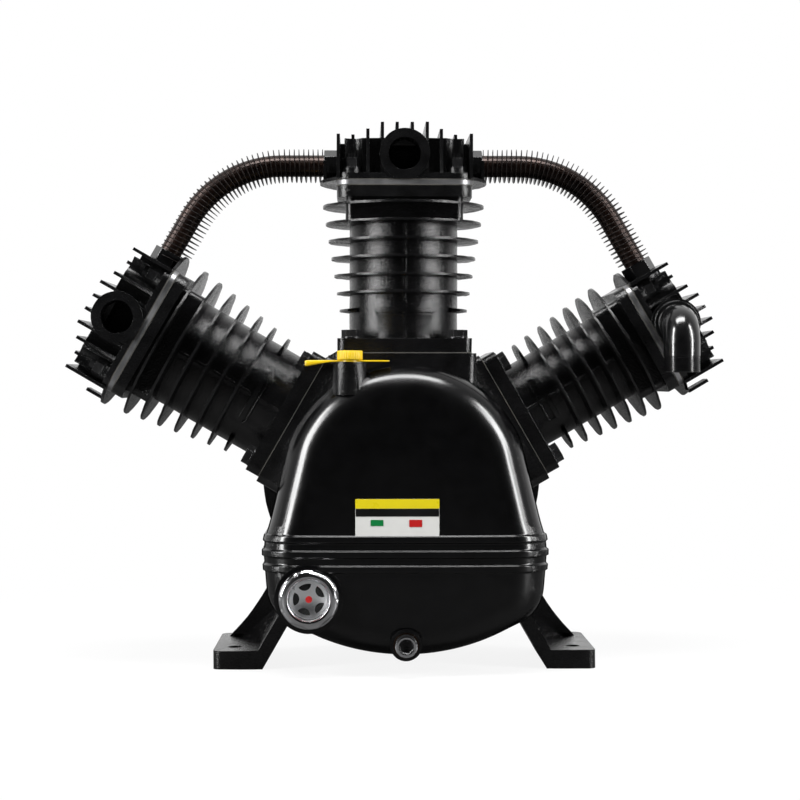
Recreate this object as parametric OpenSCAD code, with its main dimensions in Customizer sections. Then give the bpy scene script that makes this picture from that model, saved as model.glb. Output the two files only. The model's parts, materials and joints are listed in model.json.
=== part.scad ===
/* [Crank drive] */
// Height of the crank axis above the base plane
crank_z = 175; // [170:1:190]
// Crank throw, half of the piston stroke
throw = 30; // [26:1:32]
// Connecting rod length between bore centres
rod_len = 207; // [204:1:208]
// Radius of the crank pin
crank_pin_r = 16; // [14:0.5:18]
// Distance between neighbouring rods along the crank pin
rod_pitch = 20; // [20:1:22]
// Angle of the side cylinders from the vertical
bank_angle = 60; // [60:1:62]
// Radius of the flywheel seat on the shaft
seat_r = 19; // [16:0.5:20]
// Length of the flywheel seat on the shaft
seat_len = 52; // [40:1:70]

/* [Crankcase] */
// Radius of the arched top of the casing
case_top_r = 115; // [112:1:118]
// Half width of the casing at its ribs
case_half_w = 130; // [127:1:134]
// Depth of the rounded bottom below the crank axis
case_bottom = 158; // [155:1:160]
// Distance of the casing front from the cylinder plane
case_front = 112; // [108:1:124]
// Distance of the casing rear face from the cylinder plane
case_rear = 98; // [96:1:108]
// Radius of the rounded front edge
case_edge_r = 30; // [24:1:34]
// Wall thickness of the casing
case_wall = 8; // [6:0.5:10]
// Radius of the round rear flange
rear_flange_r = 140; // [138:1:146]
// Thickness of the round rear flange
rear_flange_t = 12; // [8:1:14]

/* [Feet] */
// Distance between the foot holes across the pump
foot_hole_x = 320; // [314:1:328]
// Distance between the foot holes along the shaft
foot_hole_y = 70; // [60:1:90]
// Radius of a foot hole
foot_hole_r = 6.5; // [5:0.5:8]
// Width of a foot pad
foot_w = 46; // [42:1:54]
// Length of a foot pad along the shaft
foot_len = 125; // [115:1:140]
// Thickness of a foot pad
foot_t = 17.5; // [12:0.5:20]

/* [First stage cylinders] */
// Bore of the two first stage cylinders
lp_bore = 90; // [84:1:92]
// Outer diameter of their barrels
lp_barrel_d = 104; // [102:1:108]
// Height of their top face above the crank pin at top dead centre plus rod
lp_deck_over = 39.5; // [37:0.5:43]
// Diameter of their largest fin
lp_fin_d = 155; // [148:1:160]
// Step in diameter from one fin to the next lower
lp_fin_step = 5.4; // [4:0.2:5.6]
// Pitch of their fins
lp_fin_pitch = 16.6; // [16:0.2:16.8]
// Width of their head block
lp_block_w = 127; // [122:1:130]

/* [Second stage cylinder] */
// Bore of the second stage cylinder
hp_bore = 70; // [64:1:72]
// Outer diameter of its barrel
hp_barrel_d = 86; // [84:1:90]
// Height of its top face above the same place
hp_deck_over = 35; // [33:0.5:39]
// Diameter of its largest fin
hp_fin_d = 136; // [130:1:140]
// Step in diameter from one fin to the next lower
hp_fin_step = 3.4; // [2.4:0.2:4]
// Pitch of its fins
hp_fin_pitch = 15.4; // [15:0.2:15.8]
// Width of its head block
hp_block_w = 109; // [105:1:112]

/* [Cylinder flanges] */
// Height of the crankcase pads above the top of the casing
pad_rise = 10; // [8:1:11]
// Width of a base flange
flange_w = 126; // [122:1:128]
// Thickness of a base flange
flange_t = 13; // [10:0.5:15]
// Thickness of a gasket
gasket_t = 1; // [0.5:0.1:1.2]
// Distance of a base bolt from the cylinder axis, both ways
base_bolt_at = 50; // [49:0.5:52]
// Thickness of a valve plate
valve_plate_t = 4; // [3:0.5:6]

/* [Heads] */
// Height of a head body without its fins
head_h = 40; // [38:1:44]
// Height of the tall fins above a head body
head_fin_h = 13; // [8:1:16]
// Thickness of a head fin
head_fin_t = 3; // [2:0.2:4]
// Radius of the threaded port in a head
port_r = 15.15; // [12:0.05:15.5]
// Outer radius of the port boss
port_boss_r = 23.5; // [21:0.5:26]
// Height of the port centre above the head base, first stage
lp_port_up = 23.5; // [20:0.5:25]
// Height of the port centre above the head base, second stage
hp_port_up = 20; // [18:0.5:24]

/* [Finned tubes] */
// Outer radius of the tube fins
tube_fin_r = 16.5; // [13:0.5:18]
// Outer radius of the tube
tube_r = 10.5; // [8:0.5:12]
// Bore radius of the tube
tube_bore_r = 8.5; // [6:0.5:9]
// Bend radius of the tube
tube_bend_r = 104; // [90:1:110]
// Pitch of the tube fins
tube_fin_pitch = 4.6; // [4:0.2:7]

/* [Oil fittings] */
// Place of the sight glass left of the crank axis
sight_x = 88; // [80:1:92]
// Height of the sight glass centre
sight_z = 72; // [68:1:78]
// Radius of the sight glass bezel
bezel_r = 27; // [24:0.5:28]
// Height of the drain plug centre
drain_z = 30; // [28:0.5:34]
// Place of the oil filler left of the crank axis
filler_x = 51; // [44:1:56]
// Radius of the filler cap
filler_cap_r = 11.5; // [10:0.5:13]
// Width of the label plate
label_w = 76; // [50:1:90]
// Height of the label plate
label_h = 34; // [20:1:40]

/* [Hidden] */
cut = 2;
gap = 0.3;
fit = 0.05;
round_fn = 64;
hull_fn = 32;
left = 0;
centre = 1;
right = 2;

// Casting sizes that the driving sizes lead to
case_centre = -20;
case_low_r = 40;
case_low_x = 88;
case_low_z = -93;
case_side_r = 60;
case_side_z = -62;
case_floor_r = 199;
case_drop = 5;
pad_h = case_top_r - case_drop + pad_rise;
front_crown = 4;
rib_out = 1.6;
rib_w = 4.5;
rib_pitch = 13.5;
rib_low_z = -76.5;
pad_over = 4;
pad_corner_r = 8;
pad_deep = 36;
skirt_r_gap = 1;
opening_r = rear_flange_r - 28;
rear_bolt_r = 5;
rear_bolt_count = 8;
rear_bolt_at = rear_flange_r - 13;

// Bolts: shank radius, head height and width across flats
bolt_r = 5;
bolt_head_h = 6.4;
bolt_flats = 16;
washer_t = 1.6;
washer_r = 9.5;
bolt_depth = 12;

// Spigot and stagger of the cylinders
spigot_len = 8;
stagger = rod_pitch;
deck_gap = 0.8;

// Choice of a size by bank: the right bank is the second stage
function pick(i, first, second) = i == right ? second : first;
function bank_turn(i) = (i - centre) * bank_angle;
function bank_y(i) = (i - centre) * stagger;
function bore_r(i) = pick(i, lp_bore, hp_bore) / 2;
function barrel_r(i) = pick(i, lp_barrel_d, hp_barrel_d) / 2;
function deck_h(i) = rod_len + throw + pick(i, lp_deck_over, hp_deck_over);
function block_w(i) = pick(i, lp_block_w, hp_block_w);
function fin_r(i, k) = (pick(i, lp_fin_d, hp_fin_d) - k * pick(i, lp_fin_step, hp_fin_step)) / 2;
function fin_pitch(i) = pick(i, lp_fin_pitch, hp_fin_pitch);
function top_block_t() = 10.5;
function fin_h(i, k) = deck_h(i) - top_block_t() - pick(i, lp_fin_under, hp_fin_under) - k * fin_pitch(i);
function head_base(i) = deck_h(i) + valve_plate_t + 2 * gasket_t;
function head_top(i) = head_base(i) + head_h;
function stud_at(i) = block_w(i) / 2 - stud_inset;
function port_up(i) = pick(i, lp_port_up, hp_port_up);
function port_h(i) = head_base(i) + port_up(i);
fin_count = 7;
lp_fin_under = 5;
hp_fin_under = 11.5;
fin_root_t = 4.4;
fin_tip_t = 2.2;
stud_inset = 14;
stud_r = 5;
post_r = 9;
block_corner_r = 14;

module bank(i) {
    translate([0, bank_y(i), crank_z])
        rotate([0, bank_turn(i), 0])
            children();
}

// A rounded square plate whose lower face lies at height h
module plate(w, d, t, r, h) {
    translate([0, 0, h])
        linear_extrude(t)
            rounded_square(w, d, r);
}

module rounded_square(w, d, r) {
    union() {
        square([w, d - 2 * r], center = true);
        square([w - 2 * r, d], center = true);
        for (sx = [-1, 1], sy = [-1, 1])
            translate([sx * (w / 2 - r), sy * (d / 2 - r)])
                circle(r, $fn = round_fn);
    }
}

module four_corners(at, at_y) {
    for (sx = [-1, 1], sy = [-1, 1])
        translate([sx * at, sy * at_y, 0])
            children();
}

module along_y(y0, r, len) {
    translate([0, y0, 0])
        rotate([-90, 0, 0])
            cylinder(r = r, h = len, $fn = round_fn);
}

module ring_y(y0, r_out, r_in, len) {
    difference() {
        along_y(y0, r_out, len);
        along_y(y0 - cut, r_in, len + 2 * cut);
    }
}

module hex_head(flats, h) {
    cylinder(d = flats / cos(30), h = h, $fn = 6);
}

// Outline of the casing seen from the front, about the crank axis
function arc(cx, cz, r, a0, a1, n) = [for (k = [0:n]) let (a = a0 + (a1 - a0) * k / n)
    [cx + r * cos(a), cz + r * sin(a)]];
function half_outline() = concat(
    arc(0, -case_drop, case_top_r, 90, 22, 8),
    arc(case_half_w - case_side_r, case_side_z, case_side_r, 24, -8, 4),
    arc(case_low_x, case_low_z, case_low_r, -14, -66, 5),
    arc(0, case_floor_r - case_bottom, case_floor_r, -60, -90, 4));
function mirrored(points) = [for (k = [len(points) - 2:-1:1]) [-points[k][0], points[k][1]]];
case_outline = concat(half_outline(), mirrored(half_outline()));
function inset(points, d) = [for (p = points) let (v = p - [0, case_centre])
    [0, case_centre] + v * (1 - d / norm(v))];
function ring_at(d, y) = [for (p = inset(case_outline, d)) [p[0], y, p[1]]];
edge_turns = [60, 42, 26, 12, 0];
function edge_rings(out) = [for (a = edge_turns)
    ring_at(case_edge_r * (1 - cos(a)) - out, case_edge_r * (1 - sin(a)) - case_front - out)];
crown_shares = [0.72, 0.36];
function crown_rings(out) = [for (s = crown_shares)
    ring_at(case_top_r * s, -case_front - front_crown * s - out)];

module loft(rings) {
    n = len(rings[0]);
    last = len(rings) - 1;
    points = [for (ring = rings) each ring];
    sides = [for (j = [0:last - 1], k = [0:n - 1]) each [
        [j * n + k, (j + 1) * n + k, (j + 1) * n + (k + 1) % n],
        [j * n + k, (j + 1) * n + (k + 1) % n, j * n + (k + 1) % n]]];
    front = [[for (k = [0:n - 1]) k]];
    rear = [[for (k = [n - 1:-1:0]) last * n + k]];
    polyhedron(points = points, faces = concat(front, sides, rear), convexity = 4);
}

module case_skin(out, y_end) {
    translate([0, 0, crank_z])
        loft(concat(crown_rings(out), edge_rings(out), [ring_at(-out, y_end)]));
}

module case_cavity(d, y0, y1) {
    translate([0, y1, crank_z])
        rotate([90, 0, 0])
            linear_extrude(y1 - y0)
                polygon(inset(case_outline, d));
}

module case_ribs() {
    intersection() {
        case_skin(rib_out, case_rear - rear_flange_t);
        union()
            for (k = [0:2])
                translate([-case_top_r * 2, -case_front * 2, crank_z + rib_low_z + k * rib_pitch - rib_w / 2])
                    cube([case_top_r * 4, case_front * 2 + case_rear - rear_flange_t, rib_w]);
    }
}

foot_x = foot_hole_x / 2;
leg_up = 62;
leg_foot = 12;
leg_face = 4;
leg_lean = tan(30);
leg_short = 0.5;
rib_t = 12;
rib_in = 106;
rib_short = 9;
rib_top_z = 92;
foot_arch_r = 201;
foot_arch_x = 131.6;
foot_arch_z = 143.7;

module foot() {
    x0 = foot_x + foot_w / 2 - 4;
    difference() {
        union() {
            translate([x0 - foot_w / 2, 0, 0])
                plate(foot_w, foot_len, foot_t, pad_corner_r, 0);
            leg(x0 - foot_w);
            translate([0, foot_len / 2 - 2 * rib_t, 0])
                foot_rib(x0);
        }
        for (s = [-1, 1])
            translate([foot_x, s * foot_hole_y / 2, -cut])
                cylinder(r = foot_hole_r, h = foot_t + 2 * cut, $fn = round_fn);
    }
}

// A strip that leans in from the pad to the casing
module leg(x) {
    translate([0, foot_len / 2 - leg_short, 0])
        rotate([90, 0, 0])
            linear_extrude(foot_len - 2 * leg_short)
                polygon([[x, 0], [x + leg_foot, 0], [x + leg_foot, foot_t], [x + leg_face, foot_t],
                    [x + leg_face - leg_lean * (leg_up - foot_t), leg_up], [x - leg_lean * leg_up, leg_up]]);
}

// A side rib with a hollow outer edge
module foot_rib(x0) {
    translate([0, rib_t, 0])
        rotate([90, 0, 0])
            linear_extrude(rib_t)
                difference() {
                    polygon([[rib_in, leg_up], [x0 - foot_w + leg_face, foot_t - cut], [x0 - rib_short, foot_t - cut],
                        [x0 - rib_short, rib_top_z], [rib_in, rib_top_z]]);
                    translate([x0 + foot_arch_x, foot_t + foot_arch_z])
                        circle(foot_arch_r, $fn = round_fn * 4);
                }
}

// Front fittings: bosses on the casing
boss_out = 5;
sight_boss_r = bezel_r + 4.5;
drain_r = 8;
drain_boss_r = 14.5;
neck_r = 15.5;
neck_over = 1.5;
neck_top = crank_z + case_top_r - case_drop + neck_over;
filler_y = 17 - case_front;
filler_bore_r = 9.5;

module crankcase() {
    color([0.05, 0.05, 0.055])
        difference() {
            union() {
                case_skin(0, case_rear);
                case_ribs();
                translate([0, 0, crank_z])
                    along_y(case_rear - rear_flange_t, rear_flange_r, rear_flange_t);
                for (i = [left:right])
                    bank(i)
                        plate(flange_w + 2 * pad_over, flange_w + 2 * pad_over, pad_deep, pad_corner_r,
                            pad_h - pad_deep);
                foot();
                mirror([1, 0, 0])
                    foot();
                translate([-sight_x, 0, sight_z])
                    along_y(-case_front - boss_out, sight_boss_r, case_edge_r + boss_out);
                translate([0, 0, drain_z])
                    along_y(-case_front - boss_out, drain_boss_r, case_edge_r + boss_out);
                translate([-filler_x, filler_y, neck_top - case_edge_r])
                    cylinder(r = neck_r, h = case_edge_r, $fn = round_fn);
            }
            case_cavity(case_wall, case_edge_r - case_front - case_wall, case_rear - rear_flange_t);
            case_cavity(case_edge_r + case_wall / 2, case_wall - case_front, case_edge_r - case_front);
            translate([0, 0, crank_z])
                along_y(case_rear - rear_flange_t - cut, opening_r, rear_flange_t + 2 * cut);
            translate([0, 0, crank_z])
                for (k = [0:rear_bolt_count - 1])
                    rotate([0, (k + 0.5) * 360 / rear_bolt_count, 0])
                        translate([0, 0, rear_bolt_at])
                            along_y(case_rear - rear_flange_t, rear_bolt_r + gap, rear_flange_t + cut);
            for (i = [left:right])
                bank(i) {
                    translate([0, 0, throw + case_wall])
                        cylinder(r = barrel_r(i) - skirt_r_gap + gap, h = pad_h, $fn = round_fn);
                    four_corners(base_bolt_at, base_bolt_at)
                        translate([0, 0, pad_h - bolt_depth - cut])
                            cylinder(r = bolt_r + gap, h = bolt_depth + 2 * cut, $fn = round_fn);
                }
            sight_cuts();
            translate([0, 0, drain_z])
                along_y(-case_front - boss_out - cut, drain_r + gap, case_edge_r + boss_out + 2 * cut);
            translate([-filler_x, filler_y, neck_top - case_edge_r * 2])
                cylinder(r = filler_bore_r + gap, h = case_edge_r * 2 + cut, $fn = round_fn);
            translate([-filler_x, filler_y, neck_top])
                cylinder(r = filler_cap_r + cut, h = case_edge_r, $fn = round_fn);
        }
}

// Rear bearing housing, with the hub that carries both bearings
housing_t = 13;
hub_r = 56;
hub_out_r = 50;
hub_len = 92;
hub_in = 24;
spigot_y = 9;
dish_t = 9;
front_race_r = 45;
front_race_w = 23;
rear_race_r = 40;
rear_race_w = 21;
journal_r = 22.5;
rear_journal_r = 20;
race_t = 7;
housing_y = case_rear + gasket_t;
hub_end = housing_y + hub_len;
front_race_y = housing_y - hub_in + 4;
rear_race_y = hub_end - rear_race_w - 14;
housing_rib_count = 8;
seal_t = 8;
seal_y = hub_end - seal_t - 2;

module bearing_housing() {
    color([0.07, 0.07, 0.075])
        translate([0, 0, crank_z])
            difference() {
                union() {
                    along_y(housing_y, rear_flange_r, housing_t);
                    along_y(housing_y - spigot_y, opening_r - gap, spigot_y + 1);
                    along_y(housing_y - hub_in, hub_r, hub_in + housing_t);
                    along_y(housing_y, hub_r, hub_len / 2);
                    along_y(housing_y, hub_out_r, hub_len);
                    for (k = [0:housing_rib_count - 1])
                        rotate([0, k * 360 / housing_rib_count, 0])
                            housing_rib();
                }
                ring_y(housing_y - spigot_y - cut, opening_r - housing_t, hub_r, spigot_y + dish_t / 2);
                along_y(front_race_y - cut * 4, front_race_r + gap, front_race_w + cut * 4);
                along_y(rear_race_y, rear_race_r + gap, rear_race_w + seal_t + 20);
                along_y(housing_y - hub_in - cut, rear_race_r - race_t + 1, hub_len + hub_in);
                for (k = [0:rear_bolt_count - 1])
                    rotate([0, (k + 0.5) * 360 / rear_bolt_count, 0])
                        translate([0, 0, rear_bolt_at])
                            along_y(housing_y - cut, rear_bolt_r + gap, housing_t + 2 * cut);
            }
}

module housing_rib() {
    translate([-dish_t / 2, housing_y + housing_t - 1, hub_out_r - 2])
        rotate([90, 0, 90])
            linear_extrude(dish_t)
                polygon([[0, 0], [hub_len * 0.7, 0], [0, opening_r - hub_out_r]]);
}

module bearing_housing_gasket() {
    color([0.75, 0.72, 0.6])
        translate([0, 0, crank_z])
            difference() {
                ring_y(case_rear, rear_flange_r, opening_r + gap, gasket_t);
                for (k = [0:rear_bolt_count - 1])
                    rotate([0, (k + 0.5) * 360 / rear_bolt_count, 0])
                        translate([0, 0, rear_bolt_at])
                            along_y(case_rear - cut, rear_bolt_r + gap, gasket_t + 2 * cut);
            }
}

module bearing_housing_bolts() {
    color([0.12, 0.12, 0.12])
        translate([0, 0, crank_z])
            for (k = [0:rear_bolt_count - 1])
                rotate([0, (k + 0.5) * 360 / rear_bolt_count, 0])
                    translate([0, housing_y + housing_t, rear_bolt_at])
                        rotate([-90, 0, 0])
                            bolt(housing_t + gasket_t + rear_flange_t - 1);
}

// A hex bolt whose head seats at height zero and whose shank goes down
module bolt(shank) {
    translate([0, 0, -shank])
        cylinder(r = bolt_r, h = shank, $fn = round_fn);
    cylinder(r = washer_r, h = washer_t, $fn = round_fn);
    translate([0, 0, washer_t])
        hex_head(bolt_flats, bolt_head_h);
}

// A deep groove bearing, in three nodes
module outer_race(y0, r_out, w, track_r, ball_r) {
    color([0.7, 0.7, 0.72])
        translate([0, 0, crank_z])
            difference() {
                ring_y(y0, r_out, track_r + ball_r * 0.55, w);
                race_groove(y0 + w / 2, track_r, ball_r);
            }
}

module inner_race(y0, r_in, w, track_r, ball_r) {
    color([0.7, 0.7, 0.72])
        translate([0, 0, crank_z])
            difference() {
                ring_y(y0, track_r - ball_r * 0.55, r_in, w);
                race_groove(y0 + w / 2, track_r, ball_r);
            }
}

module race_groove(y, track_r, ball_r) {
    translate([0, y, 0])
        rotate([-90, 0, 0])
            rotate_extrude($fn = round_fn)
                translate([track_r, 0])
                    circle(ball_r + gap, $fn = round_fn);
}

module balls(y, track_r, ball_r, n) {
    color([0.8, 0.8, 0.82])
        translate([0, y, crank_z])
            for (k = [0:n - 1])
                rotate([0, k * 360 / n, 0])
                    translate([0, 0, track_r])
                        sphere(ball_r, $fn = hull_fn);
}

front_track_r = (front_race_r + journal_r) / 2;
rear_track_r = (rear_race_r + rear_journal_r) / 2;
front_ball_r = 6.5;
rear_ball_r = 5.8;
ball_count = 9;

module front_bearing_outer_race() {
    outer_race(front_race_y, front_race_r, front_race_w, front_track_r, front_ball_r);
}

module front_bearing_balls() {
    balls(front_race_y + front_race_w / 2, front_track_r, front_ball_r, ball_count);
}

module front_bearing_inner_race() {
    inner_race(front_race_y, journal_r + fit, front_race_w, front_track_r, front_ball_r);
}

module rear_bearing_outer_race() {
    outer_race(rear_race_y, rear_race_r, rear_race_w, rear_track_r, rear_ball_r);
}

module rear_bearing_balls() {
    balls(rear_race_y + rear_race_w / 2, rear_track_r, rear_ball_r, ball_count);
}

module rear_bearing_inner_race() {
    inner_race(rear_race_y, rear_journal_r + fit, rear_race_w, rear_track_r, rear_ball_r);
}

module shaft_seal() {
    color([0.1, 0.1, 0.1])
        translate([0, 0, crank_z])
            ring_y(seal_y, rear_race_r, rear_journal_r + gap, seal_t);
}

// Crankshaft, overhung: the pin end hangs on the web in front of the bearings
pin_half = rod_pitch + 11;
web_y = pin_half + gap;
web_t = 18;
web_r = 46;
key_w = 10;
key_deep = 5;
key_turn = 30;
seat_y = hub_end + 3;
shaft_end = seat_y + seat_len;
centre_hole_r = 5.1;
weight_r = 92;
weight_bolt_at = 30;
weight_bolt_down = 34;
weight_t = 14;

module crankshaft() {
    color([0.6, 0.6, 0.62])
        translate([0, 0, crank_z])
            difference() {
                union() {
                    translate([0, web_y + web_t, 0])
                        rotate([90, 0, 0])
                            linear_extrude(web_t)
                                web_outline();
                    along_y(web_y + web_t - 1, journal_r + 5, front_race_y - web_y - web_t + 1);
                    along_y(web_y + web_t, journal_r, front_race_y + front_race_w - web_y - web_t);
                    along_y(front_race_y, rear_journal_r + 1, rear_race_y - front_race_y);
                    along_y(rear_race_y - 1, rear_journal_r, seat_y - rear_race_y + 1);
                    along_y(seat_y - 1, seat_r, seat_len + 1);
                }
                rotate([0, key_turn, 0])
                    translate([-key_w / 2, seat_y + key_deep, seat_r - key_deep])
                        cube([key_w, seat_len - 2 * key_deep, key_deep + cut]);
                along_y(shaft_end - seat_len / 2, centre_hole_r, seat_len / 2 + cut);
                translate([0, 0, -weight_bolt_down])
                    for (s = [-1, 1])
                        translate([s * weight_bolt_at / 2, 0, 0])
                            along_y(web_y - cut, bolt_r + gap, web_t + 2 * cut);
            }
}

module web_outline() {
    union() {
        translate([0, throw])
            circle(crank_pin_r + 8, $fn = round_fn);
        circle(web_r, $fn = round_fn);
        translate([-crank_pin_r - 8, 0])
            square([2 * crank_pin_r + 16, throw]);
    }
}

// Counterweight, a half disc bolted to the rear of the web
module counterweight() {
    y0 = web_y + web_t;
    color([0.35, 0.35, 0.36])
        translate([0, 0, crank_z])
            difference() {
                intersection() {
                    along_y(y0, weight_r, weight_t);
                    translate([-weight_r, y0 - cut, -weight_r])
                        cube([2 * weight_r, weight_t + 2 * cut, weight_r - 6]);
                }
                along_y(y0 - cut, journal_r + 5 + gap, weight_t + 2 * cut);
                translate([0, 0, -weight_bolt_down])
                    for (s = [-1, 1])
                        translate([s * weight_bolt_at / 2, 0, 0])
                            along_y(y0 - cut, bolt_r + gap, weight_t + 2 * cut);
            }
}

module counterweight_bolts() {
    color([0.3, 0.3, 0.3])
        translate([0, 0, crank_z - weight_bolt_down])
            for (s = [-1, 1])
                translate([s * weight_bolt_at / 2, web_y + web_t + weight_t, 0])
                    rotate([-90, 0, 0])
                        bolt(web_t + weight_t - 1);
}

module crank_pin() {
    color([0.75, 0.75, 0.77])
        translate([0, 0, crank_z + throw]) {
            difference() {
                along_y(-pin_half, crank_pin_r, 2 * pin_half);
                along_y(-pin_half - cut, crank_pin_r / 3, pin_half);
            }
            along_y(-pin_half - 3, crank_pin_r + 5, 3);
        }
}

// Connecting rods, side by side on the crank pin
rod_t = 17;
big_end_r = 30;
small_end_r = 17;
gudgeon_r = 10;
shank_w = 18;
shank_t = 12;
side_pin_gap = 2.1;
rod_lean = asin(throw * sin(bank_angle) / rod_len);
function pin_up(i) = i == centre ? throw + rod_len
    : throw * cos(bank_angle) + rod_len * cos(rod_lean);
function rod_turn(i) = (i - centre) * rod_lean;
function pin_gap(i) = i == centre ? gap : side_pin_gap;

module rod(i) {
    color([0.55, 0.55, 0.57])
        bank(i)
            translate([0, 0, pin_up(i)])
                rotate([0, rod_turn(i), 0])
                    difference() {
                        union() {
                            along_y(-rod_t / 2, small_end_r, rod_t);
                            translate([0, 0, -rod_len])
                                along_y(-rod_t / 2, big_end_r, rod_t);
                            translate([0, shank_t / 2, 0])
                                rotate([90, 0, 0])
                                    linear_extrude(shank_t)
                                        polygon([[-shank_w / 2, 0], [shank_w / 2, 0],
                                            [shank_w * 0.8, -rod_len], [-shank_w * 0.8, -rod_len]]);
                        }
                        along_y(-rod_t, gudgeon_r + fit, 2 * rod_t);
                        translate([0, 0, -rod_len])
                            along_y(-rod_t, crank_pin_r + pin_gap(i), 2 * rod_t);
                        for (s = [-1, 1])
                            translate([-shank_w / 4, s * shank_t / 2 - shank_t / 4, big_end_r * 1.3 - rod_len])
                                cube([shank_w / 2, shank_t / 2, rod_len - big_end_r * 1.3 - small_end_r * 1.3]);
                    }
}

module rod_left() {
    rod(left);
}

module rod_centre() {
    rod(centre);
}

module rod_right() {
    rod(right);
}

// Splash dipper under the centre rod
dipper_r = 4;
dipper_len = 42;

module oil_dipper() {
    color([0.6, 0.6, 0.6])
        translate([0, 0, crank_z + throw - big_end_r - dipper_len + gap])
            cylinder(r = dipper_r, h = dipper_len - 2 * gap, $fn = round_fn);
}

// Pistons with three ring grooves
crown_t = 9;
skirt = 26;
ring_w = 3;
ring_deep = 3.4;
ring_pitch = 6.5;
ring_count = 3;
function crown_up(i) = deck_h(i) - deck_gap - throw - rod_len;
ring_land = 5;
function ring_down(k) = ring_land + k * ring_pitch;

module piston(i) {
    r = bore_r(i) - gap;
    color([0.75, 0.75, 0.76])
        bank(i)
            translate([0, 0, pin_up(i)])
                difference() {
                    translate([0, 0, -skirt])
                        cylinder(r = r, h = skirt + crown_up(i), $fn = round_fn);
                    translate([0, 0, -skirt - cut])
                        cylinder(r = r - 7, h = skirt + cut + crown_up(i) - crown_t, $fn = round_fn);
                    along_y(-r - cut, gudgeon_r + fit, 2 * r + 2 * cut);
                    for (k = [0:ring_count - 1])
                        translate([0, 0, crown_up(i) - ring_down(k) - ring_w])
                            difference() {
                                cylinder(r = r + cut, h = ring_w, $fn = round_fn);
                                cylinder(r = r - ring_deep, h = ring_w, $fn = round_fn);
                            }
                }
}

module rings(i) {
    r = bore_r(i) - fit;
    color([0.3, 0.3, 0.32])
        bank(i)
            translate([0, 0, pin_up(i)])
                for (k = [0:ring_count - 1])
                    translate([0, 0, crown_up(i) - ring_down(k) - ring_w + fit])
                        difference() {
                            cylinder(r = r, h = ring_w - 2 * fit, $fn = round_fn);
                            translate([0, 0, -cut])
                                cylinder(r = r - ring_deep + gap, h = ring_w + 2 * cut, $fn = round_fn);
                        }
}

module gudgeon_pin(i) {
    half = bore_r(i) - 4;
    color([0.8, 0.8, 0.82])
        bank(i)
            translate([0, 0, pin_up(i)])
                ring_y(-half, gudgeon_r, gudgeon_r / 2, 2 * half);
}

module piston_left() {
    piston(left);
}

module piston_centre() {
    piston(centre);
}

module piston_right() {
    piston(right);
}

module rings_left() {
    rings(left);
}

module rings_centre() {
    rings(centre);
}

module rings_right() {
    rings(right);
}

module gudgeon_pin_left() {
    gudgeon_pin(left);
}

module gudgeon_pin_centre() {
    gudgeon_pin(centre);
}

module gudgeon_pin_right() {
    gudgeon_pin(right);
}

// Barrel and full fins as one turned outline
function fin_points(i, k) = let (h = fin_h(i, k)) [
    [barrel_r(i), h - fin_root_t / 2], [fin_r(i, k), h - fin_tip_t / 2],
    [fin_r(i, k), h + fin_tip_t / 2], [barrel_r(i), h + fin_root_t / 2]];
flange_base = pad_h + gasket_t;
flange_top = flange_base + flange_t;

module barrel(i) {
    rotate_extrude($fn = round_fn * 2)
        polygon(concat([[bore_r(i), pad_h - spigot_len], [barrel_r(i) - skirt_r_gap, pad_h - spigot_len],
            [barrel_r(i) - skirt_r_gap, flange_base], [barrel_r(i), flange_base]],
            [for (k = [fin_count - 2:-1:0]) each fin_points(i, k)],
            [[barrel_r(i), deck_h(i)], [bore_r(i), deck_h(i)]]));
}

module side_stubs(i) {
    k = fin_count - 1;
    intersection() {
        rotate_extrude($fn = round_fn * 2)
            polygon(concat([[barrel_r(i) - cut, fin_h(i, k) - fin_root_t / 2]], fin_points(i, k),
                [[barrel_r(i) - cut, fin_h(i, k) + fin_root_t / 2]]));
        union() {
            for (s = [-1, 1])
                translate([s * (barrel_r(i) * 0.86 + fin_r(i, k) / 2) - fin_r(i, k) / 2, -fin_r(i, k) / 2,
                    fin_h(i, k) - fin_root_t])
                    cube([fin_r(i, k), fin_r(i, k), 2 * fin_root_t]);
        }
    }
    for (s = [-1, 1])
        translate([0, 0, fin_h(i, k) - fin_root_t / 2])
            rotate([0, 0, s * 90 - stub_sweep / 2])
                rotate_extrude(angle = stub_sweep, $fn = round_fn * 2)
                    translate([barrel_r(i) - cut, 0])
                        square([cut + fin_root_t / 2, fin_root_t]);
}
stub_sweep = 62;

// Thin parting line down the front and rear of a barrel
seam_w = 1.2;

module seam(i) {
    for (s = [-1, 1])
        translate([-seam_w / 2, s * barrel_r(i) - seam_w, flange_top - 1])
            cube([seam_w, 2 * seam_w, fin_h(i, 1) - flange_top]);
}

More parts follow.
